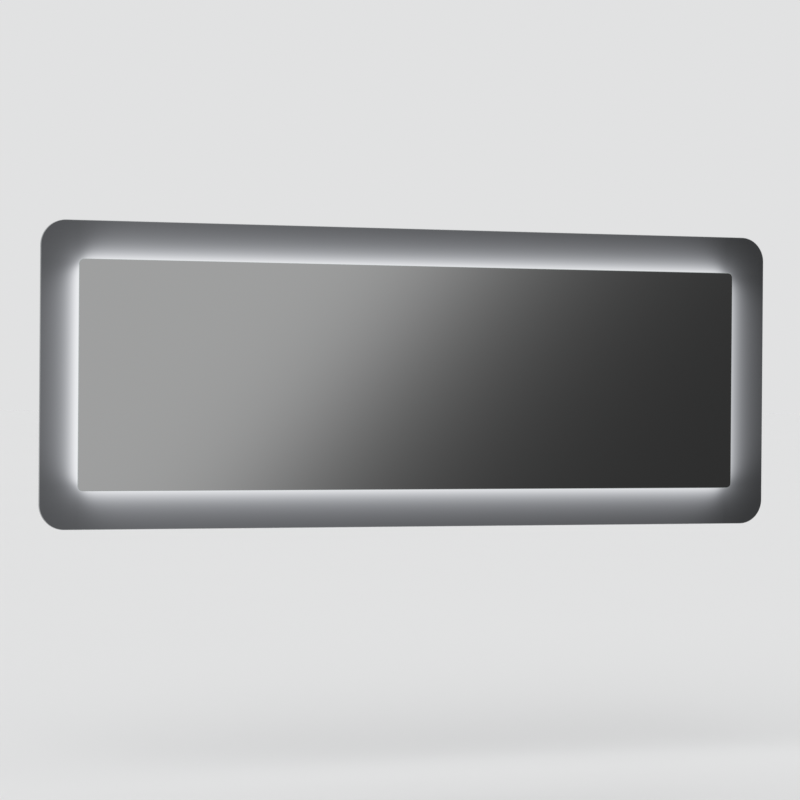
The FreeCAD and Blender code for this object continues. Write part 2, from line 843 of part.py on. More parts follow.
def driver_lid():
    # The lid meets the base at the middle of the leads, with a lip inside the base's rim.
    roof = tray_floor + driver_height
    depth = roof - lead_y
    outer = rounded_plate(driver_length, driver_width, driver_corner, roof, depth,
                          (driver_x, driver_z))
    outer = outer.makeChamfer(driver_chamfer, front_and_rear_edges(outer, roof))
    step = driver_wall + driver_lip_gap
    inset = step + driver_lip_wall
    lip = block(around(driver_x, driver_length - 2 * step), (roof - depth / 2, lead_y - driver_lip),
                around(driver_z, driver_width - 2 * step))
    hollow = block(around(driver_x, driver_length - 2 * inset),
                   (roof - driver_wall, lead_y - driver_lip - cut_over),
                   around(driver_z, driver_width - 2 * inset))
    return drilled(joined([outer, lip]).cut(hollow), bushing_cuts() + bushing_room())


def bushing_room():
    # Clears the lid round the inner ends of the bushings.
    half = bushing_radius + bushing_groove + bushing_gap
    rooms = []
    for s in (-1, 1):
        inner_face = driver_x + s * (driver_length / 2 - driver_wall)
        rooms.append(block((inner_face, inner_face - s * (bushing_inner + bushing_gap)),
                           (lead_y - driver_lip - cut_over, lead_y + half),
                           around(driver_z, 2 * half)))
    return rooms


def circuit_board():
    rear = tray_floor + driver_wall + circuit_board_lift + circuit_board_thickness
    gap = driver_wall + circuit_board_gap
    foot = rear - circuit_legs
    parts = [rounded_plate(driver_length - 2 * gap, driver_width - 2 * gap, circuit_board_corner,
                           rear, circuit_board_thickness, (driver_x, driver_z))]
    for dx, dz, length, width, tall in circuit_blocks:
        parts.append(block(around(driver_x + dx, length), (foot, rear + tall),
                           around(driver_z + dz, width)))
    for dx, dz, radius, tall in circuit_cans:
        parts.append(prism(can_sides, radius, vec(driver_x + dx, foot, driver_z + dz),
                           vec(0, 1, 0), tall))
    return joined(parts)


def bushing(end, lead_radius):
    # Collar in the driver's end wall, gripped in its groove, with a tapered outer nose.
    flange = bushing_radius + bushing_groove
    groove = driver_wall + 2 * lead_clearance
    bore = lead_radius + lead_clearance
    steps = [(flange, flange, -bushing_inner, 0), (bushing_radius, bushing_radius, 0, groove),
             (flange, flange, groove, groove + bushing_flange),
             (flange, bore + bushing_nose, groove + bushing_flange, bushing_length)]
    inner_face = driver_length / 2 - driver_wall - lead_clearance
    return turned(steps, bore, vec(driver_x + end * inner_face, lead_y, driver_z), vec(end, 0, 0))


def junction_box():
    pieces = [open_box(box_width, box_height, box_depth, box_wall, box_corner, (box_x, box_z))]
    for size, seat, direction, length in lid_screws():
        pieces.append(block(around(seat.x, box_boss),
                            (tray_floor + box_wall / 2, tray_floor + box_depth - box_lid_lip),
                            around(seat.z, box_boss)))
    holes = holes_for(lid_screws() + box_screws())
    for face, out in gland_places():
        holes.append(through(gland_thread_radius + screw_clearance, face - out * box_wall, out,
                             box_wall))
    return drilled(joined(pieces), holes)


def junction_lid():
    rear = tray_floor + box_depth + box_lid_thickness
    plate = rounded_plate(box_width, box_height, box_corner, rear, box_lid_thickness,
                          (box_x, box_z))
    plate = plate.makeChamfer(box_lid_chamfer, front_and_rear_edges(plate, rear))
    lip_depth = (rear - box_lid_thickness / 2, rear - box_lid_thickness - box_lid_lip)
    inside = box_wall + box_lid_gap
    inset = inside + box_lid_lip_wall
    lip = block(around(box_x, box_width - 2 * inside), lip_depth,
                around(box_z, box_height - 2 * inside))
    lip = lip.cut(block(around(box_x, box_width - 2 * inset), lip_depth,
                        around(box_z, box_height - 2 * inset)))
    pads = [block(around(seat.x, box_boss), lip_depth, around(seat.z, box_boss))
            for size, seat, direction, length in lid_screws()]
    return drilled(joined([plate, lip] + pads), holes_for(lid_screws()))


def terminal_block():
    rear = tray_floor + box_wall + terminal_depth
    body = rounded_plate(terminal_width, terminal_height, terminal_corner, rear, terminal_depth,
                         (box_x, box_z))
    pitch = terminal_width / terminal_poles
    holes = []
    for index in range(terminal_poles):
        x = box_x + (index - (terminal_poles - 1) / 2) * pitch
        middle = rear - terminal_depth / 2
        holes.append(block(around(x, terminal_way), around(middle, terminal_way),
                           around(box_z, 2 * terminal_height)))
        for dz in around(0, terminal_height / 2):
            holes.append(block(around(x, terminal_way), (rear + cut_over, middle),
                               around(box_z + dz, terminal_way)))
    for x in around(box_x, pitch):
        holes.append(block(around(x, terminal_slit), (rear + cut_over, rear - terminal_slit_depth),
                           around(box_z, 2 * terminal_height)))
    return drilled(body, holes)


def gland_places():
    # Outer face of the box wall and the way out, first for the link, then for the supply.
    return [(vec(box_x + s * box_width / 2, lead_y, box_z), vec(s, 0, 0)) for s in (1, -1)]


def hexagon(start, direction, length):
    return prism(6, gland_flats / math.sqrt(3), start, direction, length)


def gland_bodies():
    bodies = []
    for face, out in gland_places():
        thread = prism(turned_sides, gland_thread_radius, face - out * gland_thread_length, out,
                       gland_thread_length)
        bore = through(gland_bore, face - out * gland_thread_length, out,
                       gland_thread_length + gland_hex_length)
        bodies.append(joined([hexagon(face, out, gland_hex_length), thread]).cut(bore))
    return bodies


def gland_caps():
    steps = [(gland_cap_radius, gland_cap_radius, 0, gland_cap_straight),
             (gland_cap_radius, gland_cap_end, gland_cap_straight, gland_cap_length)]
    caps = []
    for face, out in gland_places():
        start = face + out * gland_hex_length
        pocket = prism(turned_sides, gland_bore, start - out * cut_over, out,
                       gland_cap_length - gland_cap_wall + cut_over)
        caps.append(turned(steps, gland_cap_mouth, start, out).cut(pocket))
    return caps


def gland_nuts():
    nuts = []
    for face, out in gland_places():
        start = face - out * (box_wall + gland_nut_length)
        hole = through(gland_thread_radius + lead_clearance, start, out, gland_nut_length)
        nuts.append(hexagon(start, out, gland_nut_length).cut(hole))
    return nuts


def gland_seals():
    # The link's seal grips its lead. The supply's seal is open and round.
    starts = [(face + out * (gland_hex_length + gland_cap_length - gland_cap_wall - seal_length), out)
              for face, out in gland_places()]
    solids = [prism(turned_sides, gland_bore, start, out, seal_length) for start, out in starts]
    bores = [prism(turned_sides, link_diameter / 2 + lead_clearance, starts[0][0], starts[0][1],
                   seal_length),
             rod(supply_bore, starts[1][0], starts[1][1], seal_length)]
    return [solid.cut(bore) for solid, bore in zip(solids, bores)]


def feed_grommet():
    tail = fit_gap + tray_wall + frame_wall
    steps = [(grommet_flange, grommet_flange, -grommet_flange_length, 0),
             (grommet_radius, grommet_radius, 0, tail)]
    return turned(steps, feed_diameter / 2 + lead_clearance,
                  vec(feed_x, lead_y, opening_bottom + fit_gap + tray_wall), vec(0, 0, -1))


def clip_places():
    # (middle, direction, lead diameter) on the link's upright run and above the grommet.
    first, corner, top, last = link_route()
    up = (top - corner).normalize()
    straight = (arc_start(first, corner, top) + (top - corner).Length
                - arc_start(corner, top, last)) / 2
    inner, bend, end = feed_route()
    arc_end = bend.z - arc_start(inner, bend, end)
    grommet_end = opening_bottom + fit_gap + tray_wall + grommet_flange_length
    return [(corner + up * straight, up, link_diameter),
            (vec(feed_x, lead_y, (arc_end + grommet_end) / 2), vec(0, 0, -1), feed_diameter)]


def lead_clips():
    # Saddle clips stuck to the tray.
    clips = []
    for place, direction, diameter in clip_places():
        bore = diameter / 2 + lead_clearance
        outer = bore + clip_wall
        start = place - direction * (clip_width / 2)
        ring = prism(turned_sides, outer, start, direction, clip_width)
        z_range = around(place.z, clip_width)
        stem = block(around(place.x, 2 * outer), (place.y, tray_floor), z_range)
        foot = block(around(place.x, clip_foot), (tray_floor, tray_floor + clip_wall), z_range)
        hole = through(bore, start, direction, clip_width)
        clips.append(joined([ring, stem, foot]).cut(hole))
    return clips


def screws(places):
    return [screw(*place) for place in places]


def all_pieces():
    pieces = {
        "wall_rail": wall_rail(),
        "hanging_rail": hanging_rail(),
        "hanging_rail_screws": screws(hang_screws()),
        "satin_glass_panel": satin_panel(),
        "mirror_pane": mirror_pane(),
        "mirror_bond_tape": mirror_tape(),
        "safety_film": safety_film(),
        "frame_bond_tape": glass_tape(),
        "corner_keys": corner_keys(),
        "corner_key_screws": [set_screw(*place) for place in key_screws()],
        "diffuser_end_caps": end_caps(),
        "corner_link_wires": corner_wires(),
        "brace_left": brace(-1),
        "brace_right": brace(1),
        "brace_screws": screws(brace_screws()),
        "backing_tape": backing_tape(),
        "electrics_tray": tray(),
        "tray_screws": screws(tray_screws()),
        "driver_base": driver_base(),
        "driver_lid": driver_lid(),
        "driver_circuit_board": circuit_board(),
        "driver_bushings": [bushing(1, link_diameter / 2), bushing(-1, feed_diameter / 2)],
        "driver_screws": screws(driver_screws()),
        "junction_box": junction_box(),
        "junction_box_lid": junction_lid(),
        "junction_box_screws": screws(box_screws()),
        "junction_lid_screws": screws(lid_screws()),
        "terminal_block": terminal_block(),
        "gland_bodies": gland_bodies(),
        "gland_caps": gland_caps(),
        "gland_nuts": gland_nuts(),
        "gland_seals": gland_seals(),
        "mains_link_lead": lead(link_route(), link_diameter),
        "strip_feed_lead": lead(feed_route(), feed_diameter),
        "feed_grommet": feed_grommet(),
        "lead_clips": lead_clips(),
        "wall_spacers": wall_spacers(),
    }
    for side in side_turns:
        pieces["frame_rail_" + side] = frame_rail(side)
        pieces["led_strip_" + side] = led_strip(side)
        pieces["diffuser_" + side] = diffuser(side)
    return pieces


os.makedirs("parts", exist_ok=True)
for name, piece in all_pieces().items():
    shape = Part.makeCompound(piece) if isinstance(piece, list) else piece
    shape.exportStep("parts/" + name + ".step")
    print(name, "solids", len(shape.Solids), "valid", shape.isValid())
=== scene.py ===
import json
import math

import bmesh
import bpy
import numpy as np
from mathutils import Matrix, Vector


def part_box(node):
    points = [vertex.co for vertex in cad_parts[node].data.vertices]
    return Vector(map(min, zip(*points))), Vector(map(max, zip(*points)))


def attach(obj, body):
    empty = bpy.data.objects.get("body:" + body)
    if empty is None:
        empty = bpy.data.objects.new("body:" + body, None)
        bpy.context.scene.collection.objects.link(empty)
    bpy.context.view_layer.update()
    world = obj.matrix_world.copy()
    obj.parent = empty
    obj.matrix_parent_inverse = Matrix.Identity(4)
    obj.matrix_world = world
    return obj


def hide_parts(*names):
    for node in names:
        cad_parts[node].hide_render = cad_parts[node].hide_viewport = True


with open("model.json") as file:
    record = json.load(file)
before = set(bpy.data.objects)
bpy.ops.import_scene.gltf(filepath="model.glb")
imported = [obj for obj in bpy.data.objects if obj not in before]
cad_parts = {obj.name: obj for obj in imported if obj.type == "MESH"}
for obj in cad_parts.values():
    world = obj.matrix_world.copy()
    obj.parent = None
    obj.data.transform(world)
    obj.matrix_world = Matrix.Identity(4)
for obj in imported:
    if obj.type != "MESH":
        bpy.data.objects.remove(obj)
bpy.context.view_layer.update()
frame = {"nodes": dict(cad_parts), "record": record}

scene = bpy.context.scene
cad = frame["nodes"]
sides = ("top", "right", "bottom", "left")
print("frame loaded, nodes:", len(cad))


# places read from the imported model

mergeDistance = 1e-6       # points nearer than this are one point
sortDigits = 4


def middleOf(node):
    low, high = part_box(node)
    return (low + high) / 2


def solidBoxes(node):
    # one (low, high) pair for each separate solid of a node
    mesh = bmesh.new()
    mesh.from_mesh(cad[node].data)
    bmesh.ops.remove_doubles(mesh, verts=mesh.verts, dist=mergeDistance)
    left = set(mesh.verts)
    boxes = []
    while left:
        wave = [left.pop()]
        found = list(wave)
        while wave:
            vert = wave.pop()
            for edge in vert.link_edges:
                other = edge.other_vert(vert)
                if other in left:
                    left.remove(other)
                    wave.append(other)
                    found.append(other)
        points = np.array([v.co for v in found])
        boxes.append((Vector(points.min(0)), Vector(points.max(0))))
    mesh.free()
    return sorted(boxes, key=lambda pair: tuple(round(c, sortDigits) for c in pair[0]))


panelLow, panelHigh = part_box("satin_glass_panel")
mirrorLow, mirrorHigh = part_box("mirror_pane")
panelMiddle = (panelLow + panelHigh) / 2
mirrorHalfWidth = mirrorHigh.x
mirrorHalfHeight = (mirrorHigh.z - mirrorLow.z) / 2


# small tools for node trees

def calc(tree, operation, *inputs):
    node = tree.nodes.new("ShaderNodeMath")
    node.operation = operation
    for socket, value in zip(node.inputs, inputs):
        if isinstance(value, (int, float)):
            socket.default_value = value
        else:
            tree.links.new(value, socket)
    return node.outputs[0]


def plus(tree, *inputs):
    return calc(tree, "ADD", *inputs)


def minus(tree, *inputs):
    return calc(tree, "SUBTRACT", *inputs)


def times(tree, *inputs):
    return calc(tree, "MULTIPLY", *inputs)


def square(tree, value):
    return times(tree, value, value)


def split(tree, kind, value):
    # kind: XYZ or Color
    node = tree.nodes.new("ShaderNodeSeparate" + kind)
    tree.links.new(value, node.inputs[0])
    return node.outputs


def mixColours(tree, share, first, second):
    node = tree.nodes.new("ShaderNodeMix")
    node.data_type = "RGBA"
    for socket, value in ((node.inputs[0], share), (node.inputs[6], first), (node.inputs[7], second)):
        if isinstance(value, bpy.types.NodeSocket):
            tree.links.new(value, socket)
        elif isinstance(value, (tuple, list)):
            socket.default_value = (*value, 1)
        else:
            socket.default_value = value
    return node.outputs[2]


def ramp(tree, value, low, high, fromValue=0.0, toValue=1.0):
    node = tree.nodes.new("ShaderNodeMapRange")
    tree.links.new(value, node.inputs["Value"])
    node.inputs["From Min"].default_value = low
    node.inputs["From Max"].default_value = high
    node.inputs["To Min"].default_value = fromValue
    node.inputs["To Max"].default_value = toValue
    return node.outputs["Result"]


noiseRange = (0.3, 0.7)     # where most of a noise's values lie


def places(tree, stretch=(1, 1, 1)):
    # object coordinates are metres in the part's own frame
    coordinates = tree.nodes.new("ShaderNodeTexCoord")
    mapping = tree.nodes.new("ShaderNodeMapping")
    mapping.inputs["Scale"].default_value = stretch
    tree.links.new(coordinates.outputs["Object"], mapping.inputs["Vector"])
    return mapping.outputs["Vector"]


def noise(tree, vector, scale, detail=2.0, roughness=0.5):
    node = tree.nodes.new("ShaderNodeTexNoise")
    tree.links.new(vector, node.inputs["Vector"])
    node.inputs["Scale"].default_value = scale
    node.inputs["Detail"].default_value = detail
    node.inputs["Roughness"].default_value = roughness
    return node.outputs["Fac"]


def bump(tree, shader, height, strength, distance):
    node = tree.nodes.new("ShaderNodeBump")
    node.inputs["Strength"].default_value = strength
    node.inputs["Distance"].default_value = distance
    tree.links.new(height, node.inputs["Height"])
    tree.links.new(node.outputs["Normal"], shader.inputs["Normal"])


def placed(name, data):
    made = bpy.data.objects.new(name, data)
    scene.collection.objects.link(made)
    return made


def newMaterial(name, colour, roughness, metallic=0.0, level=0.5):
    material = bpy.data.materials.new(name)
    material.use_nodes = True
    tree = material.node_tree
    shader = tree.nodes["Principled BSDF"]
    shader.inputs["Base Color"].default_value = (*colour, 1)
    shader.inputs["Roughness"].default_value = roughness
    shader.inputs["Metallic"].default_value = metallic
    shader.inputs["Specular IOR Level"].default_value = level
    return material, tree, shader


def mottle(tree, shader, share, darkest, colour):
    # base colour between a darker one and the full one
    mixed = mixColours(tree, share, tuple(c * darkest for c in colour), colour)
    tree.links.new(mixed, shader.inputs["Base Color"])


def roughen(tree, shader, value, within, least, most):
    tree.links.new(ramp(tree, value, *within, least, most), shader.inputs["Roughness"])


# satin glass, with the light that shines through it painted on as emission

mirrorLook = {
    "silver": (0.885, 0.890, 0.890),
    "roughness": 0.012,
    "haze": (0.004, 0.020),       # roughness from its least to its most
    "hazeScale": 6.0,
    "hazeDetail": 4.0,
    "waveScale": 2.2,             # slow waves of float glass
    "waveDetail": 1.0,
    "waveBump": 0.02,
    "waveDepth": 0.001,
    "edge": (0.24, 0.27, 0.265),
    "edgeRoughness": 0.25,
    "paintedEdgeGlow": 0.12,             # painted light: glow that the satin glass in front of it gives its ground edge
    "backing": (0.20, 0.21, 0.22),
    "backingRoughness": 0.5,
    "backingGrain": 400.0,
    "backingDetail": 3.0,
    "backingBump": 0.2,
    "backingDepth": 0.0002,
    "cornerRadius": 0.010,
    "arris": 0.0008,
    "cornerSteps": 14,
}

satin = {
    "colour": (0.036, 0.0375, 0.040),
    "cloud": (0.033, 0.0345, 0.037),
    "cloudScale": 9.0,
    "cloudDetail": 3.0,
    "roughness": 0.40,
    "smoother": 0.02,
    "rougher": 0.03,
    "grainScale": 2600.0,
    "grainDetail": 2.0,
    "grainBump": 0.25,
    "grainDepth": 0.0002,
    "weakTint": (0.950, 0.980, 1.052),
    "strongTint": (0.978, 0.985, 0.998),
    "edgeColour": (0.20, 0.21, 0.215),
    "edgeRoughness": 0.5,
    "paintedEdgeGlow": 0.11,
    "cornerSteps": 28,
    "arris": 0.0008,
    "cornerRadius": 0.050,
    "endReach": 0.018,            # how far the light goes past each end of a strip
    "fan": 0.35,                  # how much of its length it loses on its way out
    "wrap": 0.010,                # how far it creeps round the corners
    "endBlur": 0.003,             # softness of its ends at the strip, and how that grows on the way out
    "endSpread": 0.70,
    "paintedRimWidth": 0.0020,
}

# each face's painted light: brightness of the strips, how far to the left their light lies, the painted
# brighter line along the mirror's outline, painted soft light of the room, and how much less of it for each
# metre to the right
satinFaces = {
    "front": {"light": 1.0, "lean": 0.006, "rim": 0.030, "room": 0.008, "paintedRoomFall": 0.030},
    "rear": {"light": 0.80, "lean": 0.0, "rim": 0.0, "room": 0.0, "paintedRoomFall": 0.0},
}


def stripPlace(side):
    # Where a packed strip lies: inside the mirror's outline, behind the glass, and half its length.
    low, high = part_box("led_strip_" + side)
    inside = {"left": low.x - mirrorLow.x, "right": mirrorHigh.x - high.x,
              "top": mirrorHigh.z - high.z, "bottom": low.z - mirrorLow.z}
    length = high.z - low.z if side in ("left", "right") else high.x - low.x
    return inside[side], (low.y + high.y) / 2 - panelHigh.y, length / 2


def paintedStripLight(tree, outward, along, strength, shift, depth, halfStrip):
    # Painted light of one straight strip of a known length on a surface beside it: it falls off with the cube
    # of the distance, times how squarely it meets the surface.
    free = plus(tree, outward, shift)
    rounded = calc(tree, "SQRT", plus(tree, square(tree, free), satin["wrap"] ** 2))
    reach = times(tree, plus(tree, free, rounded), 0.5)
    distance = calc(tree, "SQRT", plus(tree, square(tree, reach), depth * depth))
    falloff = calc(tree, "DIVIDE", times(tree, reach, depth * depth),
                   calc(tree, "POWER", distance, 3.0))
    half = minus(tree, halfStrip + satin["endReach"],
                times(tree, reach, satin["fan"]))
    blur = plus(tree, times(tree, reach, satin["endSpread"]), satin["endBlur"])
    ends = []
    for operation in ("ADD", "SUBTRACT"):
        run = calc(tree, operation, along, half)
        length = calc(tree, "SQRT", plus(tree, square(tree, run), square(tree, blur)))
        ends.append(calc(tree, "DIVIDE", run, length))
    share = minus(tree, ends[0], ends[1])
    return times(tree, times(tree, falloff, share), strength)


def paintedRimHighlight(tree, x, upright, strength):
    # painted highlight: a brighter line outside the mirror's outline, round its corners too
    radius = mirrorLook["cornerRadius"]
    squares = []
    for place, half in ((x, mirrorHalfWidth), (upright, mirrorHalfHeight)):
        away = minus(tree, calc(tree, "ABSOLUTE", place), half - radius)
        squares.append(square(tree, calc(tree, "MAXIMUM", away, 0.0)))
    outside = minus(tree, calc(tree, "SQRT", plus(tree, *squares)), radius)
    share = calc(tree, "DIVIDE", calc(tree, "MAXIMUM", outside, 0.0), -satin["paintedRimWidth"])
    return times(tree, calc(tree, "EXPONENT", share), strength)


def satinMaterial(name, face):
    material, tree, shader = newMaterial(name, satin["colour"], satin["roughness"])
    vector = places(tree)
    cloud = noise(tree, vector, satin["cloudScale"], satin["cloudDetail"])
    tree.links.new(mixColours(tree, cloud, satin["cloud"], satin["colour"]), shader.inputs["Base Color"])
    grain = noise(tree, vector, satin["grainScale"], satin["grainDetail"])
    bump(tree, shader, grain, satin["grainBump"], satin["grainDepth"])
    roughen(tree, shader, cloud, noiseRange, satin["roughness"] - satin["smoother"],
            satin["roughness"] + satin["rougher"])
    spot = split(tree, "XYZ", vector)
    x = spot["X"]
    upright = minus(tree, spot["Z"], panelMiddle.z)
    across = plus(tree, x, face["lean"])
    leftward = times(tree, across, -1)
    downward = times(tree, upright, -1)
    outs = {"left": (minus(tree, leftward, mirrorHalfWidth), upright),
            "right": (minus(tree, across, mirrorHalfWidth), upright),
            "top": (minus(tree, upright, mirrorHalfHeight), across),
            "bottom": (minus(tree, downward, mirrorHalfHeight), across)}
    total = paintedRimHighlight(tree, x, upright, face["rim"])
    for side, (outward, along) in outs.items():
        total = plus(tree, total, paintedStripLight(tree, outward, along, face["light"], *stripPlace(side)))
    # painted room light: the satin's front gets a little more emission on the left, less for each metre to
    # the right
    room = minus(tree, face["room"], times(tree, x, face["paintedRoomFall"]))
    seen = calc(tree, "MAXIMUM", plus(tree, total, room), 0.0)
    # the strips' light, the rim and the room's light are painted into the emission colour, tinted by how
    # bright they are
    tint = tree.nodes.new("ShaderNodeVectorMath")
    tint.operation = "SCALE"
    tree.links.new(mixColours(tree, seen, satin["weakTint"], satin["strongTint"]), tint.inputs[0])
    tree.links.new(seen, tint.inputs["Scale"])
    tree.links.new(tint.outputs["Vector"], shader.inputs["Emission Color"])
    shader.inputs["Emission Strength"].default_value = 1.0
    return material


def roundedOutline(low, high, radius, steps):
    # (x, z) points of a rectangle with round corners, anticlockwise seen from the front
    points = []
    centres = ((high.x - radius, high.z - radius, 0), (low.x + radius, high.z - radius, 90),
               (low.x + radius, low.z + radius, 180), (high.x - radius, low.z + radius, 270))
    for cx, cz, start in centres:
        for step in range(steps + 1):
            angle = math.radians(start + 90 * step / steps)
            points.append((cx + radius * math.cos(angle), cz + radius * math.sin(angle)))
    return points


def glassPane(name, low, high, radius, arris, steps, materials):
    # Rings from the front face round the ground edge to the rear face.
    # materials: front, edge, rear
    inset = Vector((arris, 0, arris))
    rings = [(roundedOutline(low + inset, high - inset, radius - arris, steps), low.y),
             (roundedOutline(low, high, radius, steps), low.y + arris),
             (roundedOutline(low, high, radius, steps), high.y - arris),
             (roundedOutline(low + inset, high - inset, radius - arris, steps), high.y)]
    mesh = bmesh.new()
    loops = [[mesh.verts.new((x, y, z)) for x, z in ring] for ring, y in rings]
    front = mesh.faces.new(loops[0])
    front.material_index = 0
    rear = mesh.faces.new(list(reversed(loops[-1])))
    rear.material_index = 2
    count = len(loops[0])
    for first, second in zip(loops, loops[1:]):
        for k in range(count):
            face = mesh.faces.new((first[k], second[k], second[(k + 1) % count], first[(k + 1) % count]))
            face.material_index = 1
            face.smooth = False
    bmesh.ops.recalc_face_normals(mesh, faces=mesh.faces)
    data = bpy.data.meshes.new(name)
    mesh.to_mesh(data)
    mesh.free()
    for material in materials:
        data.materials.append(material)
    return placed(name, data)


groundGrain = {
    "scale": 900.0, "detail": 3.0, "range": (0.2, 0.8), "spread": 0.08, "bump": 0.3, "depth": 0.0001,
}


def groundEdge(name, colour, roughness, glow):
    material, tree, shader = newMaterial(name, colour, roughness)
    streak = noise(tree, places(tree), groundGrain["scale"], groundGrain["detail"])
    spread = groundGrain["spread"]
    roughen(tree, shader, streak, groundGrain["range"], roughness - spread, roughness + spread)
    bump(tree, shader, streak, groundGrain["bump"], groundGrain["depth"])
    # painted glow: an even emission on the ground edge, standing in for the strips' light in the glass
    shader.inputs["Emission Color"].default_value = (*satin["strongTint"], 1)
    shader.inputs["Emission Strength"].default_value = glow
    return material


frontSatin = satinMaterial("satinFront", satinFaces["front"])
rearSatin = satinMaterial("satinRear", satinFaces["rear"])
satinEdge = groundEdge("satinEdge", satin["edgeColour"], satin["edgeRoughness"], satin["paintedEdgeGlow"])
satinPanel = glassPane("satinPanel", panelLow, panelHigh, satin["cornerRadius"], satin["arris"],
                       satin["cornerSteps"], (frontSatin, satinEdge, rearSatin))
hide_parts("satin_glass_panel")
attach(satinPanel, "mirror_unit")
print("satin panel made")


# silvered mirror

def silverMaterial():
    look = mirrorLook
    material, tree, shader = newMaterial("silver", look["silver"], look["roughness"], 1.0)
    vector = places(tree)
    haze = noise(tree, vector, look["hazeScale"], look["hazeDetail"])
    roughen(tree, shader, haze, noiseRange, *look["haze"])
    wave = noise(tree, vector, look["waveScale"], look["waveDetail"])
    bump(tree, shader, wave, look["waveBump"], look["waveDepth"])
    return material


def backingMaterial():
    look = mirrorLook
    material, tree, shader = newMaterial("mirrorBacking", look["backing"], look["backingRoughness"])
    grain = noise(tree, places(tree), look["backingGrain"], look["backingDetail"])
    bump(tree, shader, grain, look["backingBump"], look["backingDepth"])
    return material


mirrorEdge = groundEdge("mirrorEdge", mirrorLook["edge"], mirrorLook["edgeRoughness"], mirrorLook["paintedEdgeGlow"])
mirrorPane = glassPane("mirrorPane", mirrorLow, mirrorHigh, mirrorLook["cornerRadius"],
                       mirrorLook["arris"], mirrorLook["cornerSteps"],
                       (silverMaterial(), mirrorEdge, backingMaterial()))
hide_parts("mirror_pane")
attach(mirrorPane, "mirror_unit")
print("mirror made")


# finishes of the carried-over pieces

metalLook = {
    "streakDetail": 5.0, "streakRoughness": 0.6, "streakRange": (0.25, 0.75), "bump": 0.35,
    "darkest": 0.90, "smoother": 0.06, "rougher": 0.08, "cloudScale": 14.0, "cloudDetail": 3.0,
    "cloudSpread": 0.03,
}


def brushedMetal(name, colour, roughness, stretch, lines=1.0, depth=0.00004):
    # fine drawing lines along the axis with the smallest stretch
    look = metalLook
    material, tree, shader = newMaterial(name, colour, roughness, 1.0)
    streaks = noise(tree, places(tree, stretch), 1.0, look["streakDetail"], look["streakRoughness"])
    cloud = noise(tree, places(tree), look["cloudScale"], look["cloudDetail"])
    mottle(tree, shader, ramp(tree, streaks, *noiseRange), look["darkest"], colour)
    fine = ramp(tree, streaks, *look["streakRange"], roughness - look["smoother"],
                roughness + look["rougher"])
    slow = ramp(tree, cloud, *noiseRange, -look["cloudSpread"], look["cloudSpread"])
    tree.links.new(plus(tree, fine, slow), shader.inputs["Roughness"])
    bump(tree, shader, streaks, look["bump"] * lines, depth)
    return material


zincLook = {
    "roughness": 0.38, "gloss": (0.32, 0.46), "warpScale": 60.0, "warpDetail": 2.0,
    "crystalScale": 150.0, "crystalShare": 0.7, "darkest": 0.86, "bump": 0.15, "depth": 0.0001,
}


def galvanised(name, colour):
    # zinc spangle: flat crystals of slightly different tone and gloss
    look = zincLook
    material, tree, shader = newMaterial(name, colour, look["roughness"], 1.0)
    vector = places(tree)
    warp = noise(tree, vector, look["warpScale"], look["warpDetail"])
    cells = tree.nodes.new("ShaderNodeTexVoronoi")
    cells.inputs["Scale"].default_value = look["crystalScale"]
    tree.links.new(vector, cells.inputs["Vector"])
    crystal = split(tree, "Color", cells.outputs["Color"])[0]
    grey = plus(tree, times(tree, crystal, look["crystalShare"]),
                times(tree, warp, 1 - look["crystalShare"]))
    mottle(tree, shader, grey, look["darkest"], colour)
    roughen(tree, shader, grey, (0.0, 1.0), *look["gloss"])
    bump(tree, shader, grey, look["bump"], look["depth"])
    return material


mouldedLook = {
    "grainDetail": 3.0, "grainRoughness": 0.6, "cloudScale": 25.0, "cloudDetail": 2.0,
    "darkest": 0.95, "smoother": 0.05, "rougher": 0.07, "bump": 0.3,
}


def moulded(name, colour, roughness, grain=1400.0, depth=0.00006):
    look = mouldedLook
    material, tree, shader = newMaterial(name, colour, roughness)
    vector = places(tree)
    texture = noise(tree, vector, grain, look["grainDetail"], look["grainRoughness"])
    cloud = noise(tree, vector, look["cloudScale"], look["cloudDetail"])
    mottle(tree, shader, cloud, look["darkest"], colour)
    roughen(tree, shader, texture, noiseRange, roughness - look["smoother"], roughness + look["rougher"])
    bump(tree, shader, texture, look["bump"], depth)
    return material


castLook = {
    "roughness": 0.5, "scale": 700.0, "detail": 4.0, "grain": 0.65, "darkest": 0.8, "bump": 0.5,
    "depth": 0.0001,
}


def castAlloy(name, colour):
    look = castLook
    material, tree, shader = newMaterial(name, colour, look["roughness"], 1.0)
    grain = noise(tree, places(tree), look["scale"], look["detail"], look["grain"])
    mottle(tree, shader, grain, look["darkest"], colour)
    bump(tree, shader, grain, look["bump"], look["depth"])
    return material


foamLook = {
    "roughness": 0.9, "sheen": 0.2, "cellScale": 2500.0, "darkest": 0.85, "bump": 0.5,
    "depth": 0.0001,
}


def foam(name, colour):
    look = foamLook
    material, tree, shader = newMaterial(name, colour, look["roughness"], level=look["sheen"])
    cells = tree.nodes.new("ShaderNodeTexVoronoi")
    cells.inputs["Scale"].default_value = look["cellScale"]
    tree.links.new(places(tree), cells.inputs["Vector"])
    height = cells.outputs["Distance"]
    mottle(tree, shader, height, look["darkest"], colour)
    bump(tree, shader, height, look["bump"], look["depth"])
    return material


opalLook = {
    "colour": (0.30, 0.31, 0.32), "roughness": 0.35, "dim": (0.50, 0.525, 0.56),
    "bright": (0.62, 0.645, 0.68), "chipPitch": 0.0333, "grain": 900.0, "bump": 0.1, "depth": 0.0001,
}


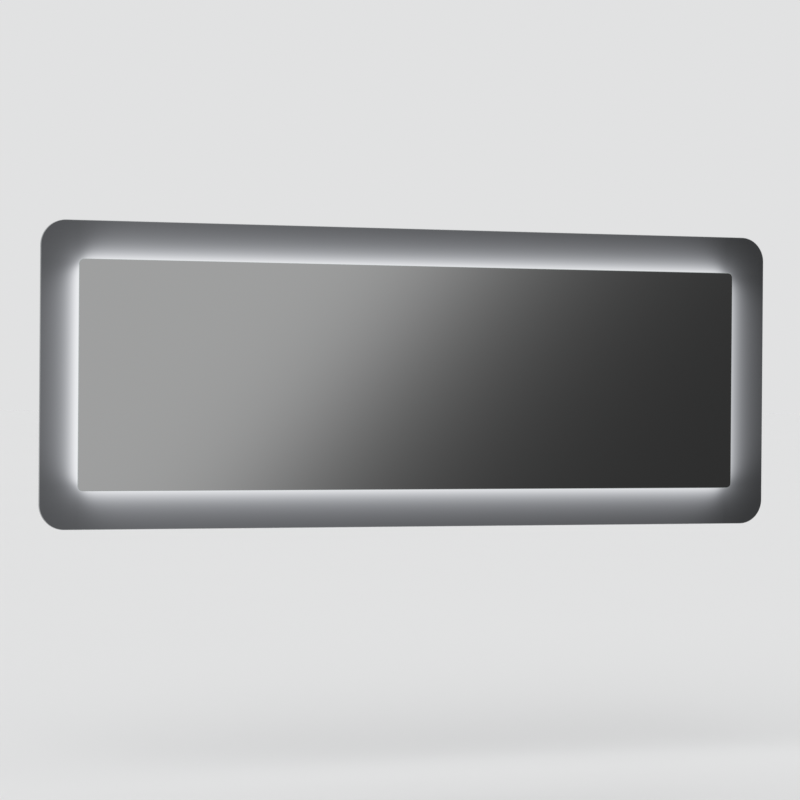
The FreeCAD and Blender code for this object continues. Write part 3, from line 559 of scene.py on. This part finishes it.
def opal(name, axis):
    # lit diffuser: the chips behind it show as soft brighter spots along the axis
    look = opalLook
    material, tree, shader = newMaterial(name, look["colour"], look["roughness"])
    vector = places(tree)
    along = split(tree, "XYZ", vector)[axis]
    turns = times(tree, along, 2 * math.pi / look["chipPitch"])
    spots = ramp(tree, calc(tree, "COSINE", turns), -1.0, 1.0)
    tree.links.new(mixColours(tree, spots, look["dim"], look["bright"]), shader.inputs["Emission Color"])
    shader.inputs["Emission Strength"].default_value = 1.0
    bump(tree, shader, noise(tree, vector, look["grain"]), look["bump"], look["depth"])
    return material


boardLook = {
    "colour": (0.02, 0.12, 0.05),
    "roughness": 0.35,
    "scale": 60.0,
    "trackWidth": 0.03,
    "Color1": (0.02, 0.13, 0.05),
    "Color2": (0.015, 0.10, 0.04),
    "Mortar": (0.05, 0.22, 0.09),
}


def circuitBoard(name):
    look = boardLook
    material, tree, shader = newMaterial(name, look["colour"], look["roughness"])
    tracks = tree.nodes.new("ShaderNodeTexBrick")
    tracks.inputs["Scale"].default_value = look["scale"]
    tracks.inputs["Mortar Size"].default_value = look["trackWidth"]
    for socket in ("Color1", "Color2", "Mortar"):
        tracks.inputs[socket].default_value = (*look[socket], 1)
    tree.links.new(places(tree), tracks.inputs["Vector"])
    tree.links.new(tracks.outputs["Color"], shader.inputs["Base Color"])
    return material


finishes = {
    "frameAlongX": brushedMetal("frameAlongX", (0.60, 0.61, 0.63), 0.34, (6, 1500, 1500)),
    "frameAlongZ": brushedMetal("frameAlongZ", (0.60, 0.61, 0.63), 0.34, (1500, 1500, 6)),
    "mill_aluminium": brushedMetal("millAluminium", (0.66, 0.67, 0.68), 0.30, (0.8, 1900, 1900),
                                   0.8, 0.00005),
    "galvanised_steel": galvanised("galvanisedSteel", (0.56, 0.58, 0.60)),
    "zinc_screws": brushedMetal("zincPlate", (0.62, 0.64, 0.66), 0.26, (300, 300, 300), 0.6),
    "cast_alloy": castAlloy("castAlloy", (0.45, 0.46, 0.47)),
    "foam_tape": foam("foamTape", (0.74, 0.74, 0.72)),
    "white_film": moulded("whiteFilm", (0.66, 0.68, 0.70), 0.32, 300.0),
    "led_board": moulded("ledBoard", (0.80, 0.80, 0.78), 0.4),
    "opalAlongX": opal("opalAlongX", "X"),
    "opalAlongZ": opal("opalAlongZ", "Z"),
    "grey_plastic": moulded("greyPlastic", (0.21, 0.22, 0.23), 0.45),
    "white_insulation": moulded("whiteInsulation", (0.74, 0.74, 0.72), 0.35, 600.0),
    "white_plastic": moulded("whitePlastic", (0.74, 0.74, 0.71), 0.42),
    "light_grey_plastic": moulded("lightGreyPlastic", (0.50, 0.51, 0.51), 0.48),
    "natural_plastic": moulded("naturalPlastic", (0.66, 0.64, 0.57), 0.38, 800.0),
    "circuit_board": circuitBoard("circuitBoard"),
    "black_rubber": moulded("blackRubber", (0.018, 0.018, 0.018), 0.62, 900.0, 0.0001),
}
slotOf = {row["node"]: row["material_slot"] for row in frame["record"]["subparts"]}


def finishFor(node):
    for start, family in (("frame_rail", "frameAlong"), ("diffuser_", "opalAlong")):
        if node.startswith(start) and node.endswith(sides):
            return finishes[family + ("X" if node.endswith(("top", "bottom")) else "Z")]
    return finishes.get(slotOf[node])


for node, piece in cad.items():
    finish = finishFor(node)
    if finish is None:
        continue
    piece.data.materials.clear()
    piece.data.materials.append(finish)
print("finishes given")


# round and moulded pieces on the back, which take the place of their plain versions

def joinLoops(mesh, first, second):
    for k in range(len(first)):
        nextK = (k + 1) % len(first)
        mesh.faces.new((first[k], first[nextK], second[nextK], second[k]))


def addRings(mesh, rings, centre, axis, steps, capped=True):
    # Rings skinned one after the other: (distance along the axis, radius or one radius for each step).
    # The last ring joins the first one if there are no caps.
    axis = Vector(axis).normalized()
    side = Vector((0, 1, 0)) if abs(axis.y) < 0.5 else Vector((1, 0, 0))
    first = axis.cross(side).normalized()
    second = axis.cross(first)
    loops = []
    for along, radii in rings:
        loop = []
        for k in range(steps):
            angle = 2 * math.pi * k / steps
            radius = radii[k] if isinstance(radii, list) else radii
            spot = first * (radius * math.cos(angle)) + second * (radius * math.sin(angle))
            loop.append(mesh.verts.new(Vector(centre) + axis * along + spot))
        loops.append(loop)
    for low, high in zip(loops, loops[1:]):
        joinLoops(mesh, low, high)
    if capped:
        mesh.faces.new(list(reversed(loops[0])))
        mesh.faces.new(loops[-1])
    else:
        joinLoops(mesh, loops[-1], loops[0])


def hexagonRing(flats, steps):
    # outline of a hexagon, as a radius for each step
    sixth = math.pi / 3
    return [flats / 2 / math.cos((2 * math.pi * k / steps) % sixth - sixth / 2) for k in range(steps)]


def crossRing(halfLength, halfWidth, steps):
    # outline of a cross-shaped recess, as a radius for each step
    radii = []
    for k in range(steps):
        angle = (2 * math.pi * k / steps) % (math.pi / 2)
        angle = min(angle, math.pi / 2 - angle)
        tip = halfLength / math.cos(angle)
        flank = halfWidth / math.sin(angle) if angle > 0 else tip
        radii.append(min(tip, flank))
    return radii


sharpAngle = 35      # degrees; blunter edges are shaded smooth


def standsFor(piece, node):
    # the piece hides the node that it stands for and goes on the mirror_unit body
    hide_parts(node)
    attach(piece, "mirror_unit")


def finished(mesh, name, node):
    # turns the mesh into a piece with the finish of the node that it stands for
    bmesh.ops.recalc_face_normals(mesh, faces=mesh.faces)
    data = bpy.data.meshes.new(name)
    mesh.to_mesh(data)
    mesh.free()
    for face in data.polygons:
        face.use_smooth = True
    data.set_sharp_from_angle(angle=math.radians(sharpAngle))
    data.materials.append(finishes[slotOf[node]])
    standsFor(placed(name, data), node)


# metres: thread, pitch, a hexagon head's flats or a round one's width, and its height
largeScrew = {"thread": 0.005, "pitch": 0.0008, "width": 0.008, "head": 0.0026, "drive": "hexagon",
              "along": "y"}
frameScrew = {"thread": 0.004, "pitch": 0.0007, "width": 0.007, "head": 0.0022, "drive": "hexagon",
              "along": "z"}
flushScrew = {"thread": 0.004, "pitch": 0.0007, "width": 0.0, "head": 0.0, "drive": "socket", "along": "y"}
smallScrew = {"thread": 0.003, "pitch": 0.0005, "width": 0.0056, "head": 0.0017, "drive": "cross",
              "along": "y"}
screwKinds = {
    "hanging_rail_screws": largeScrew,
    "brace_screws": frameScrew,
    "tray_screws": frameScrew,
    "corner_key_screws": flushScrew,
    "driver_screws": smallScrew,
    "junction_box_screws": smallScrew,
    "junction_lid_screws": smallScrew,
}

threadShape = {
    "crest": 0.1,        # shares of the pitch: where crest and root lie in each turn, and the depth
    "root": 0.55,
    "depth": 0.54,
    "tip": 0.15,         # shares of the diameter: the tapered tip and the room left for it
    "tipRoom": 0.3,
    "tipWidth": 0.7,     # share of the root
}

# shares of the head's height and of half its width
hexagonShape = {
    "washer": 1.02,
    "washerHeight": 0.0002,       # metres
    "flatsTop": 0.80,
    "shoulderTop": 0.93,
    "shoulder": 1.05,
    "top": 0.93,
    "dishEdge": 0.84,
    "dish": 0.74,
    "dishFloor": 0.88,
    "dishMiddle": 0.2,
}
crossShape = {
    "side": 0.35, "crown": 0.55, "domeAngles": (0, 0.4, 0.8, 1.2, math.pi / 2), "recessLength": 0.52,
    "recessWidth": 0.17, "recessFloor": 0.35, "recessTaper": 0.7,
}
socketShape = {"rim": 0.85, "depth": 0.8}


def threadRings(kind, length):
    # from under the head down to a tapered tip
    shape, pitch, thread = threadShape, kind["pitch"], kind["thread"]
    outer, root = thread / 2, thread / 2 - pitch * shape["depth"]
    rings = []
    for turn in range(max(2, int((length - thread * shape["tipRoom"]) / pitch))):
        start = -turn * pitch
        rings.append((start - shape["crest"] * pitch, outer))
        rings.append((start - shape["root"] * pitch, root))
    rings.append((-length + thread * shape["tip"], root))
    rings.append((-length, root * shape["tipWidth"]))
    return rings


def hexagonHead(kind, steps):
    # washer face, six flats with rounded tops and a shallow dish
    shape, head, half = hexagonShape, kind["head"], kind["width"] / 2
    outline = hexagonRing(kind["width"], steps)
    washer, floor = half * shape["washer"], head * shape["dishFloor"]
    return [(0, washer), (shape["washerHeight"], washer), (shape["washerHeight"], outline),
            (head * shape["flatsTop"], outline),
            (head * shape["shoulderTop"], [min(r, half * shape["shoulder"]) for r in outline]),
            (head, half * shape["top"]), (head, half * shape["dishEdge"]),
            (floor, half * shape["dish"]), (floor, half * shape["dishMiddle"])]


def crossHead(kind, steps):
    # pan head with a cross-shaped recess
    shape, head, half = crossShape, kind["head"], kind["width"] / 2
    rings = [(0, half)]
    for angle in shape["domeAngles"]:
        height = shape["side"] + (1 - shape["side"]) * math.sin(angle)
        width = shape["crown"] + (1 - shape["crown"]) * math.cos(angle)
        rings.append((head * height, half * width))
    recess = crossRing(half * shape["recessLength"], half * shape["recessWidth"], steps)
    floor = [r * shape["recessTaper"] for r in recess]
    return rings + [(head, recess), (head * shape["recessFloor"], floor)]


def socketEnd(kind, steps):
    # headless screw with a hexagon socket in its end
    half = kind["thread"] / 2
    socket = hexagonRing(half, steps)
    return [(0, half * socketShape["rim"]), (0, socket), (-half * socketShape["depth"], socket)]


# each drive: what makes the head's rings, and the steps round the screw
drives = {"hexagon": (hexagonHead, 36), "cross": (crossHead, 48), "socket": (socketEnd, 36)}


def makeScrews():
    for node, kind in screwKinds.items():
        makeHead, steps = drives[kind["drive"]]
        mesh = bmesh.new()
        for low, high in solidBoxes(node):
            middle = (low + high) / 2
            if kind["along"] == "z":      # into the upper or the lower frame rail
                sign = -1 if middle.z > panelMiddle.z else 1
                up, top = Vector((0, 0, sign)), low.z if sign < 0 else high.z
                seat = Vector((middle.x, middle.y, top - sign * kind["head"]))
                length = high.z - low.z - kind["head"]
            else:                         # from behind
                up = Vector((0, 1, 0))
                seat = Vector((middle.x, high.y - kind["head"], middle.z))
                length = high.y - low.y - kind["head"]
            addRings(mesh, threadRings(kind, length)[::-1] + makeHead(kind, steps), seat, up, steps)
        first, *rest = node.split("_")
        finished(mesh, first + "".join(word.capitalize() for word in rest), node)


def makeTurned(name, node, middleX, ringsFor, steps):
    # Round pieces on axes along x, from their inner to their outer ends: outward is away from middleX.
    # ringsFor gives the rings from the direction, the length and the radius of each.
    mesh = bmesh.new()
    for low, high in solidBoxes(node):
        centre = (low + high) / 2
        sign = 1 if centre.x > middleX else -1
        base = Vector((low.x if sign > 0 else high.x, centre.y, centre.z))
        rings = ringsFor(sign, high.x - low.x, (high.y - low.y) / 2)
        addRings(mesh, rings, base, (sign, 0, 0), steps, capped=False)
    finished(mesh, name, node)


glandLook = {"flats": 0.014, "supplyBore": 0.0035, "boreRadius": 0.0046, "bevelWidth": 0.98, "steps": 72}
# crest and root: where they lie in each turn of the thread
bodyLook = {
    "radius": 0.006, "hexLength": 0.005, "bevel": 0.0007, "shoulder": 0.99, "pitch": 0.0015,
    "crest": 0.0003, "root": 0.0009, "threadDepth": 0.0007, "entry": 0.0008,
}
# curve: shares of a quarter turn
capLook = {
    "bore": 0.0047, "gap": 0.0001, "bevel": 0.0005, "ribStart": 0.0006, "gripStart": 0.0011,
    "ribs": 18, "ribDepth": 0.00045, "straight": 0.0062, "end": 0.0050, "mouth": 0.0041,
    "mouthDepth": 0.0004, "boreStart": 0.001, "curve": (0.35, 0.7, 0.9, 1.0),
}
nutLook = {"bore": 0.0061, "bevel": 0.0006}
sealLook = {
    "inner": 0.0043, "outer": 0.0046, "bevel": 0.0006, "noseStart": 0.0016, "noseEnd": 0.0004,
    "nose": 0.0041, "noseTip": 0.0039, "lip": 0.0003, "innerRoom": 0.0002, "outerRoom": 0.0001,
}


def glandBody(sign, length, outer):
    look, steps = bodyLook, glandLook["steps"]
    thread, root = length - look["hexLength"], look["radius"] - look["threadDepth"]
    half, hexagon = glandLook["flats"] / 2, hexagonRing(glandLook["flats"], steps)
    bore = glandLook["boreRadius"]
    rings = [(0, bore), (0, look["radius"] - look["entry"])]
    for turn in range(int(thread / look["pitch"])):
        start = turn * look["pitch"]
        rings.append((start + look["crest"], look["radius"]))
        rings.append((start + look["root"], root))
    return rings + [(thread, root), (thread, half * look["shoulder"]), (thread + look["bevel"], hexagon),
                    (length - look["bevel"], hexagon), (length, half * glandLook["bevelWidth"]),
                    (length, bore)]


def glandCap(sign, length, outer):
    look, steps = capLook, glandLook["steps"]
    waves = [math.sin(look["ribs"] * 2 * math.pi * k / steps) for k in range(steps)]
    grip = [outer - look["ribDepth"] * max(0.0, wave) ** 0.5 for wave in waves]
    smooth = outer - look["ribDepth"] * 0.5
    curveStart = look["straight"] + look["bevel"]
    rings = [(look["gap"], look["bore"]), (look["gap"], smooth - look["bevel"]), (look["ribStart"], smooth),
             (look["gripStart"], grip), (look["straight"], grip), (curveStart, smooth)]
    for turn in look["curve"]:
        angle = turn * math.pi / 2
        radius = look["end"] + (smooth - look["end"]) * math.cos(angle)
        rings.append((curveStart + (length - curveStart) * math.sin(angle), radius))
    return rings + [(length - look["mouthDepth"], look["mouth"]), (look["boreStart"], look["bore"])]


def glandNut(sign, length, outer):
    look, steps = nutLook, glandLook["steps"]
    hexagon = hexagonRing(glandLook["flats"], steps)
    bevelled, bore = glandLook["flats"] / 2 * glandLook["bevelWidth"], look["bore"]
    return [(0, bore), (0, bevelled), (look["bevel"], hexagon), (length - look["bevel"], hexagon),
            (length, bevelled), (length, bore)]


def glandSeal(sign, length, outer):
    look = sealLook
    bore = leadLook["link"] / 2 if sign > 0 else glandLook["supplyBore"]
    return [(0, bore + look["innerRoom"]), (0, look["inner"]), (look["bevel"], look["outer"]),
            (length - look["noseStart"], look["outer"]), (length - look["noseEnd"], look["nose"]),
            (length, look["noseTip"]), (length - look["lip"], bore + look["outerRoom"])]


glandParts = {"Bodies": glandBody, "Caps": glandCap, "Nuts": glandNut, "Seals": glandSeal}


def makeGlands():
    middleX = middleOf("junction_box").x
    for part, ringsFor in glandParts.items():
        makeTurned("gland" + part, "gland_" + part.lower(), middleX, ringsFor, glandLook["steps"])


leadLook = {
    "link": 0.0060,      # diameters
    "feed": 0.0042,
    "inside": 0.009,     # how far a lead reaches into the driver
    "arcShare": 0.45,    # of the shorter run beside each corner
    "handle": 0.5523,    # of an arc's radius, for a quarter circle
    "room": 0.00005,     # round a lead where it passes through a bushing or a grommet
    "roundness": 6,
    "arcSteps": 24,
}


def makeLead(name, node, points, diameter):
    # straight runs with tangent arcs
    curve = bpy.data.curves.new(name, "CURVE")
    curve.dimensions = "3D"
    curve.bevel_depth = diameter / 2
    curve.bevel_resolution = leadLook["roundness"]
    curve.resolution_u = leadLook["arcSteps"]
    curve.use_fill_caps = True
    knots = [(points[0], points[0], points[0])]
    for before, corner, after in zip(points, points[1:], points[2:]):
        radius = leadLook["arcShare"] * min((corner - before).length, (after - corner).length)
        arrive, leave = (corner - before).normalized(), (after - corner).normalized()
        start, end = corner - arrive * radius, corner + leave * radius
        handle = radius * leadLook["handle"]
        knots += [(start, start - arrive * handle, start + arrive * handle),
                  (end, end - leave * handle, end + leave * handle)]
    knots.append((points[-1], points[-1], points[-1]))
    spline = curve.splines.new("BEZIER")
    spline.bezier_points.add(len(knots) - 1)
    for point, (spot, before, after) in zip(spline.bezier_points, knots):
        point.co = spot
        point.handle_left = before
        point.handle_right = after
    curve.materials.append(finishes[slotOf[node]])
    standsFor(placed(name, curve), node)


def makeLeads():
    driverLow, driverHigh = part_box("driver_lid")
    low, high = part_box("mains_link_lead")
    y, half = (low.y + high.y) / 2, leadLook["link"] / 2
    turnX, lowZ, highZ = high.x - half, low.z + half, high.z - half
    makeLead("mainsLinkLead", "mains_link_lead",
             [Vector((driverHigh.x - leadLook["inside"], y, lowZ)), Vector((turnX, y, lowZ)),
              Vector((turnX, y, highZ)), Vector((low.x, y, highZ))], leadLook["link"])
    low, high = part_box("strip_feed_lead")
    half = leadLook["feed"] / 2
    turnX, highZ = low.x + half, high.z - half
    makeLead("stripFeedLead", "strip_feed_lead",
             [Vector((driverLow.x + leadLook["inside"], y, highZ)), Vector((turnX, y, highZ)),
              Vector((turnX, y, low.z))], leadLook["feed"])


bushingLook = {
    "collar": 0.0050,
    "flange": 0.0058,
    "inside": 0.0030,     # flange inside the wall
    "groove": 0.0017,
    "flangeLength": 0.0015,
    "bevel": 0.0003,
    "ribs": 3,
    "ribShape": ((0.1, 0.0005), (0.5, 0.0005), (0.6, 0.0), (0.9, 0.0)),    # share of a rib, drop
    "nose": 0.0012,
    "thinnest": 0.0004,
    "steps": 48,
}


def bushing(sign, length, outer):
    look, flange, bevel = bushingLook, bushingLook["flange"], bushingLook["bevel"]
    bore = leadLook["link" if sign > 0 else "feed"] / 2 + leadLook["room"]
    start = look["inside"]
    lip = start + look["groove"]
    neck = lip + look["flangeLength"]
    rings = [(0, bore), (0, flange - bevel), (bevel, flange), (start, flange), (start, look["collar"]),
             (lip, look["collar"]), (lip, flange), (neck - bevel, flange), (neck, flange - bevel)]
    for rib in range(look["ribs"]):
        for share, drop in look["ribShape"]:
            at = (rib + share) / look["ribs"]
            radius = flange - bevel + (bore + look["nose"] - flange) * at - drop
            rings.append((neck + (length - neck) * at, max(radius, bore + look["thinnest"])))
    return rings + [(length, bore + look["nose"] - bevel), (length, bore)]


grommetLook = {
    "stem": 0.0040,
    "thick": 0.0015,
    "bevel": 0.0006,
    "flat": 0.0007,       # how far the flange's bevel goes inward
    "mouth": 0.0006,      # low lip round the lead: wider than the bore at its top
    "mouthRim": 0.0012,   # and at its foot
    "mouthHeight": 0.0003,
    "rimHeight": 0.0002,  # flange's face, below the lip's top
    "boreStart": 0.0008,  # where the bore gets its full tightness
    "stemEnd": 0.0004,
    "stemBevel": 0.0005,
    "steps": 48,
}


def makeGrommet():
    look, stem, thick = grommetLook, grommetLook["stem"], grommetLook["thick"]
    low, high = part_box("feed_grommet")
    flange, length = (high.x - low.x) / 2, high.z - low.z
    bore = leadLook["feed"] / 2 + leadLook["room"]
    rings = [(0, bore + look["mouth"]), (look["mouthHeight"], bore + look["mouthRim"]),
             (look["rimHeight"], flange - look["flat"]), (look["bevel"], flange), (thick, flange),
             (thick, stem), (length - look["stemEnd"], stem), (length, stem - look["stemBevel"]),
             (length, bore), (look["boreStart"], bore)]
    mesh = bmesh.new()
    top = (low.x / 2 + high.x / 2, low.y / 2 + high.y / 2, high.z)
    addRings(mesh, rings, top, (0, 0, -1), look["steps"], capped=False)
    finished(mesh, "feedGrommet", "feed_grommet")


clipLook = {"wall": 0.0013, "foot": 0.0013, "bevel": 0.0003, "fillet": 0.0006, "steps": 14, "boreSteps": 32}


def clipOutline(floor, top, footHalf, outer, leadY):
    # foot with bevelled ends and a saddle over the lead, seen along the lead
    bevel, fillet = clipLook["bevel"], clipLook["fillet"]
    points = [(-footHalf, floor), (footHalf, floor), (footHalf, top - bevel), (footHalf - bevel, top),
              (outer + fillet, top), (outer, top + fillet)]
    for step in range(clipLook["steps"] + 1):
        angle = math.pi * step / clipLook["steps"]
        points.append((outer * math.cos(angle), leadY + outer * math.sin(angle)))
    return points + [(-outer, top + fillet), (-outer - fillet, top), (-footHalf + bevel, top),
                     (-footHalf, top - bevel)]


def makeClips():
    mesh = bmesh.new()
    leadY = middleOf("mains_link_lead").y
    for low, high in solidBoxes("lead_clips"):
        x, outer = (low.x + high.x) / 2, high.y - leadY
        bore, count = outer - clipLook["wall"], clipLook["boreSteps"]
        outline = clipOutline(low.y, low.y + clipLook["foot"], (high.x - low.x) / 2, outer, leadY)
        turns = [math.pi * (0.5 + 2 * k / count) for k in range(count)]
        inner = [(bore * math.cos(turn), leadY + bore * math.sin(turn)) for turn in turns]
        ends = []
        for z in (low.z, high.z):
            ring = [mesh.verts.new((x + px, py, z)) for px, py in outline]
            hole = [mesh.verts.new((x + px, py, z)) for px, py in inner]
            edges = [mesh.edges.new((loop[k], loop[(k + 1) % len(loop)])) for loop in (ring, hole)
                     for k in range(len(loop))]
            bmesh.ops.triangle_fill(mesh, edges=edges, use_beauty=True)
            ends.append((ring, hole))
        (lowRing, lowHole), (highRing, highHole) = ends
        joinLoops(mesh, lowRing, highRing)
        joinLoops(mesh, highHole, lowHole)
    finished(mesh, "leadClips", "lead_clips")


lidLook = {
    "driver_lid": {"corner": 0.003, "edge": 0.0022, "wall": 0.0016, "field": 0.005, "drop": 0.0004},
    "junction_box_lid": {"corner": 0.004, "edge": 0.001, "wall": 0.0015, "field": 0.003, "drop": -0.0004},
}
seamLook = {"inset": 0.0003, "gap": 0.0001, "height": 0.0004, "rise": 0.0006, "leastHeadroom": 0.0003}
# edgeTurns: shares of a quarter turn
lidShape = {"edgeTurns": (0.25, 0.5, 0.75, 1.0), "leastCorner": 0.0004, "cornerSteps": 8}


def makeLid(name, node):
    # shell: ceiling, inner wall, seam, outer wall, round edge and a slightly sunk or raised field
    look = lidLook[node]
    low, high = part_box(node)
    wall, edge, field, drop = look["wall"], look["edge"], look["field"], look["drop"]
    roof = high.y + min(drop, 0.0)
    if node == "driver_lid":
        seamY = middleOf("driver_bushings").y
    else:
        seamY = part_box("junction_box")[1].y
    mesh = bmesh.new()

    def ring(inset, y):
        shift = Vector((inset, 0, inset))
        radius = max(look["corner"] - inset, lidShape["leastCorner"])
        outline = roundedOutline(low + shift, high - shift, radius, lidShape["cornerSteps"])
        return [mesh.verts.new((x, y, z)) for x, z in outline]

    ceiling, seam, gap = roof - wall, seamLook["inset"], seamY + seamLook["gap"]
    if ceiling <= seamY + seamLook["leastHeadroom"]:
        ceiling = seamY + seamLook["height"]
    loops = [ring(wall, ceiling), ring(wall, gap), ring(seam, gap), ring(seam, seamY + seamLook["height"]),
             ring(0, seamY + seamLook["rise"]), ring(0, roof - edge)]
    for turn in lidShape["edgeTurns"]:
        angle = turn * math.pi / 2
        loops.append(ring(edge * (1 - math.cos(angle)), roof - edge * (1 - math.sin(angle))))
    loops += [ring(field, roof), ring(field + abs(drop), roof - drop)]
    for first, second in zip(loops, loops[1:]):
        joinLoops(mesh, first, second)
    mesh.faces.new(loops[0])
    mesh.faces.new(list(reversed(loops[-1])))
    finished(mesh, name, node)


makeScrews()
print("screws made")
makeGlands()
makeLeads()
makeTurned("driverBushings", "driver_bushings", middleOf("driver_lid").x, bushing, bushingLook["steps"])
makeGrommet()
makeClips()
print("glands, leads and clips made")
makeLid("driverLid", "driver_lid")
makeLid("junctionBoxLid", "junction_box_lid")
print("lids made")


# stage: pale floor, pale surroundings, soft light

stageLook = {
    "floorColour": (0.70, 0.703, 0.706),
    "floorRoughness": 0.9,
    "floorCloud": 0.8,
    "floorDetail": 2.0,
    "floorDarkest": 0.99,
    "floorDrop": 0.50,
    "floorSize": 160.0,
    "backdropColour": (0.755, 0.758, 0.762),
    "skyLight": 0.74,
    "suns": {
        "frontSun": ((-0.50, -0.60, 0.62), 1.05, False),
        "rearSun": ((0.45, 0.72, 0.53), 0.80, True),
    },
    "sunSpread": 50.0,      # degrees
    "roomBright": 0.39,     # what the mirror sees: a soft grey that falls to dark on the right
    "roomDark": 0.029,
    "roomEdge": 0.334,
    "roomSlant": 0.87,
    "roomBlur": 0.0165,
    "roomTail": 0.455,
    "roomReturn": (0.66, 1.4, 0.30),  # far right it is grey again: from, to, strength
    "roomRise": (0.20, 0.75, 0.34),  # and so it is high up and low down
    "roomLeast": 0.02,      # least forward share of a direction that is divided by
    "roomLimit": 30.0,      # keeps the exponential in range
    "behind": (-0.05, 0.15),  # backward share of a direction at which the rear takes over
    "rearHeights": (-0.8, 0.9),  # what metal sees behind the mirror, from low to high
    "rearLights": (0.28, 0.95),
}


def makeFloor():
    half = stageLook["floorSize"] / 2
    z = panelLow.z - stageLook["floorDrop"]
    data = bpy.data.meshes.new("studioFloor")
    corners = [(-half, -half, z), (half, -half, z), (half, half, z), (-half, half, z)]
    data.from_pydata(corners, [], [(0, 1, 2, 3)])
    floor = placed("studioFloor", data)
    colour = stageLook["floorColour"]
    material, tree, shader = newMaterial("paleFloor", colour, stageLook["floorRoughness"], level=0.0)
    cloud = noise(tree, places(tree), stageLook["floorCloud"], stageLook["floorDetail"])
    mottle(tree, shader, cloud, stageLook["floorDarkest"], colour)
    data.materials.append(material)
    floor.visible_glossy = False


def roomGradient(tree, direction):
    # strength of the room in front, for a direction: bright on one side, dark on the other
    look = stageLook
    x, y, z = split(tree, "XYZ", direction)
    ahead = calc(tree, "MAXIMUM", times(tree, y, -1), look["roomLeast"])
    across = calc(tree, "DIVIDE", x, ahead)
    rise = calc(tree, "DIVIDE", z, ahead)
    slanted = minus(tree, across, times(tree, rise, look["roomSlant"]))
    share = calc(tree, "DIVIDE", minus(tree, slanted, look["roomEdge"]), look["roomBlur"])
    limited = calc(tree, "MINIMUM", calc(tree, "MAXIMUM", share, -look["roomLimit"]), look["roomLimit"])
    darkness = plus(tree, 1.0, calc(tree, "EXPONENT", limited))
    fade = calc(tree, "POWER", calc(tree, "DIVIDE", 1.0, darkness), look["roomTail"])
    span = look["roomBright"] - look["roomDark"]
    front = plus(tree, look["roomDark"], times(tree, fade, span))
    for reach, (start, end, strength) in ((across, look["roomReturn"]),
                                          (calc(tree, "ABSOLUTE", rise), look["roomRise"])):
        front = calc(tree, "MAXIMUM", front, ramp(tree, reach, start, end, 0.0, strength))
    behind = ramp(tree, y, *look["behind"])
    rear = ramp(tree, z, *look["rearHeights"], *look["rearLights"])
    return plus(tree, times(tree, front, minus(tree, 1.0, behind)),
                times(tree, rear, behind))


def mixShaders(tree, *inputs):
    # inputs: share, first, second
    node = tree.nodes.new("ShaderNodeMixShader")
    for socket, value in zip(node.inputs, inputs):
        tree.links.new(value, socket)
    return node.outputs[0]


def makeWorld():
    world = bpy.data.worlds.new("studio")
    scene.world = world
    world.use_nodes = True
    tree = world.node_tree
    tree.nodes.clear()
    path = tree.nodes.new("ShaderNodeLightPath")
    direction = tree.nodes.new("ShaderNodeTexCoord").outputs["Generated"]
    lights = {}
    for name in ("sky", "room", "backdrop"):
        lights[name] = tree.nodes.new("ShaderNodeBackground")
        lights[name].inputs["Color"].default_value = (1, 1, 1, 1)
    lights["sky"].inputs["Strength"].default_value = stageLook["skyLight"]
    tree.links.new(roomGradient(tree, direction), lights["room"].inputs["Strength"])
    lights["backdrop"].inputs["Color"].default_value = (*stageLook["backdropColour"], 1)
    glossy = mixShaders(tree, path.outputs["Is Glossy Ray"], lights["sky"].outputs[0],
                        lights["room"].outputs[0])
    clear = calc(tree, "MAXIMUM", path.outputs["Is Camera Ray"], path.outputs["Is Transmission Ray"])
    direct = mixShaders(tree, clear, glossy, lights["backdrop"].outputs[0])
    out = tree.nodes.new("ShaderNodeOutputWorld")
    tree.links.new(direct, out.inputs["Surface"])


def makeSuns():
    for name, (towards, strength, inGloss) in stageLook["suns"].items():
        data = bpy.data.lights.new(name, "SUN")
        data.energy = strength
        data.angle = math.radians(stageLook["sunSpread"])
        sun = placed(name, data)
        sun.rotation_euler = Vector(towards).to_track_quat("Z", "Y").to_euler()
        sun.visible_glossy = inGloss


makeFloor()
makeWorld()
makeSuns()
print("stage made")


# camera: the photograph's place and angle

view = {
    "pixels": 800,
    "focalPixels": 2952.0,
    "sensorWidth": 36.0,      # millimetres
    "fromPanel": (-2.071, -5.577, -0.018),    # from the middle of the panel's front face
    "heading": 20.04,         # degrees, to the right of straight ahead
    "pitch": -0.26,           # degrees, upward
    "roll": 0.43,             # degrees, right side up
}
camera = bpy.data.cameras.new("camera")
camera.sensor_width = view["sensorWidth"]
camera.lens = view["focalPixels"] / view["pixels"] * camera.sensor_width
viewer = placed("camera", camera)
turn = (Matrix.Rotation(math.radians(-view["heading"]), 4, "Z")
        @ Matrix.Rotation(math.radians(90 + view["pitch"]), 4, "X")
        @ Matrix.Rotation(math.radians(view["roll"]), 4, "Z"))
place = Vector((panelMiddle.x, panelLow.y, panelMiddle.z)) + Vector(view["fromPanel"])
viewer.matrix_world = Matrix.Translation(place) @ turn
scene.camera = viewer
scene.view_settings.view_transform = "Standard"
print("camera set")
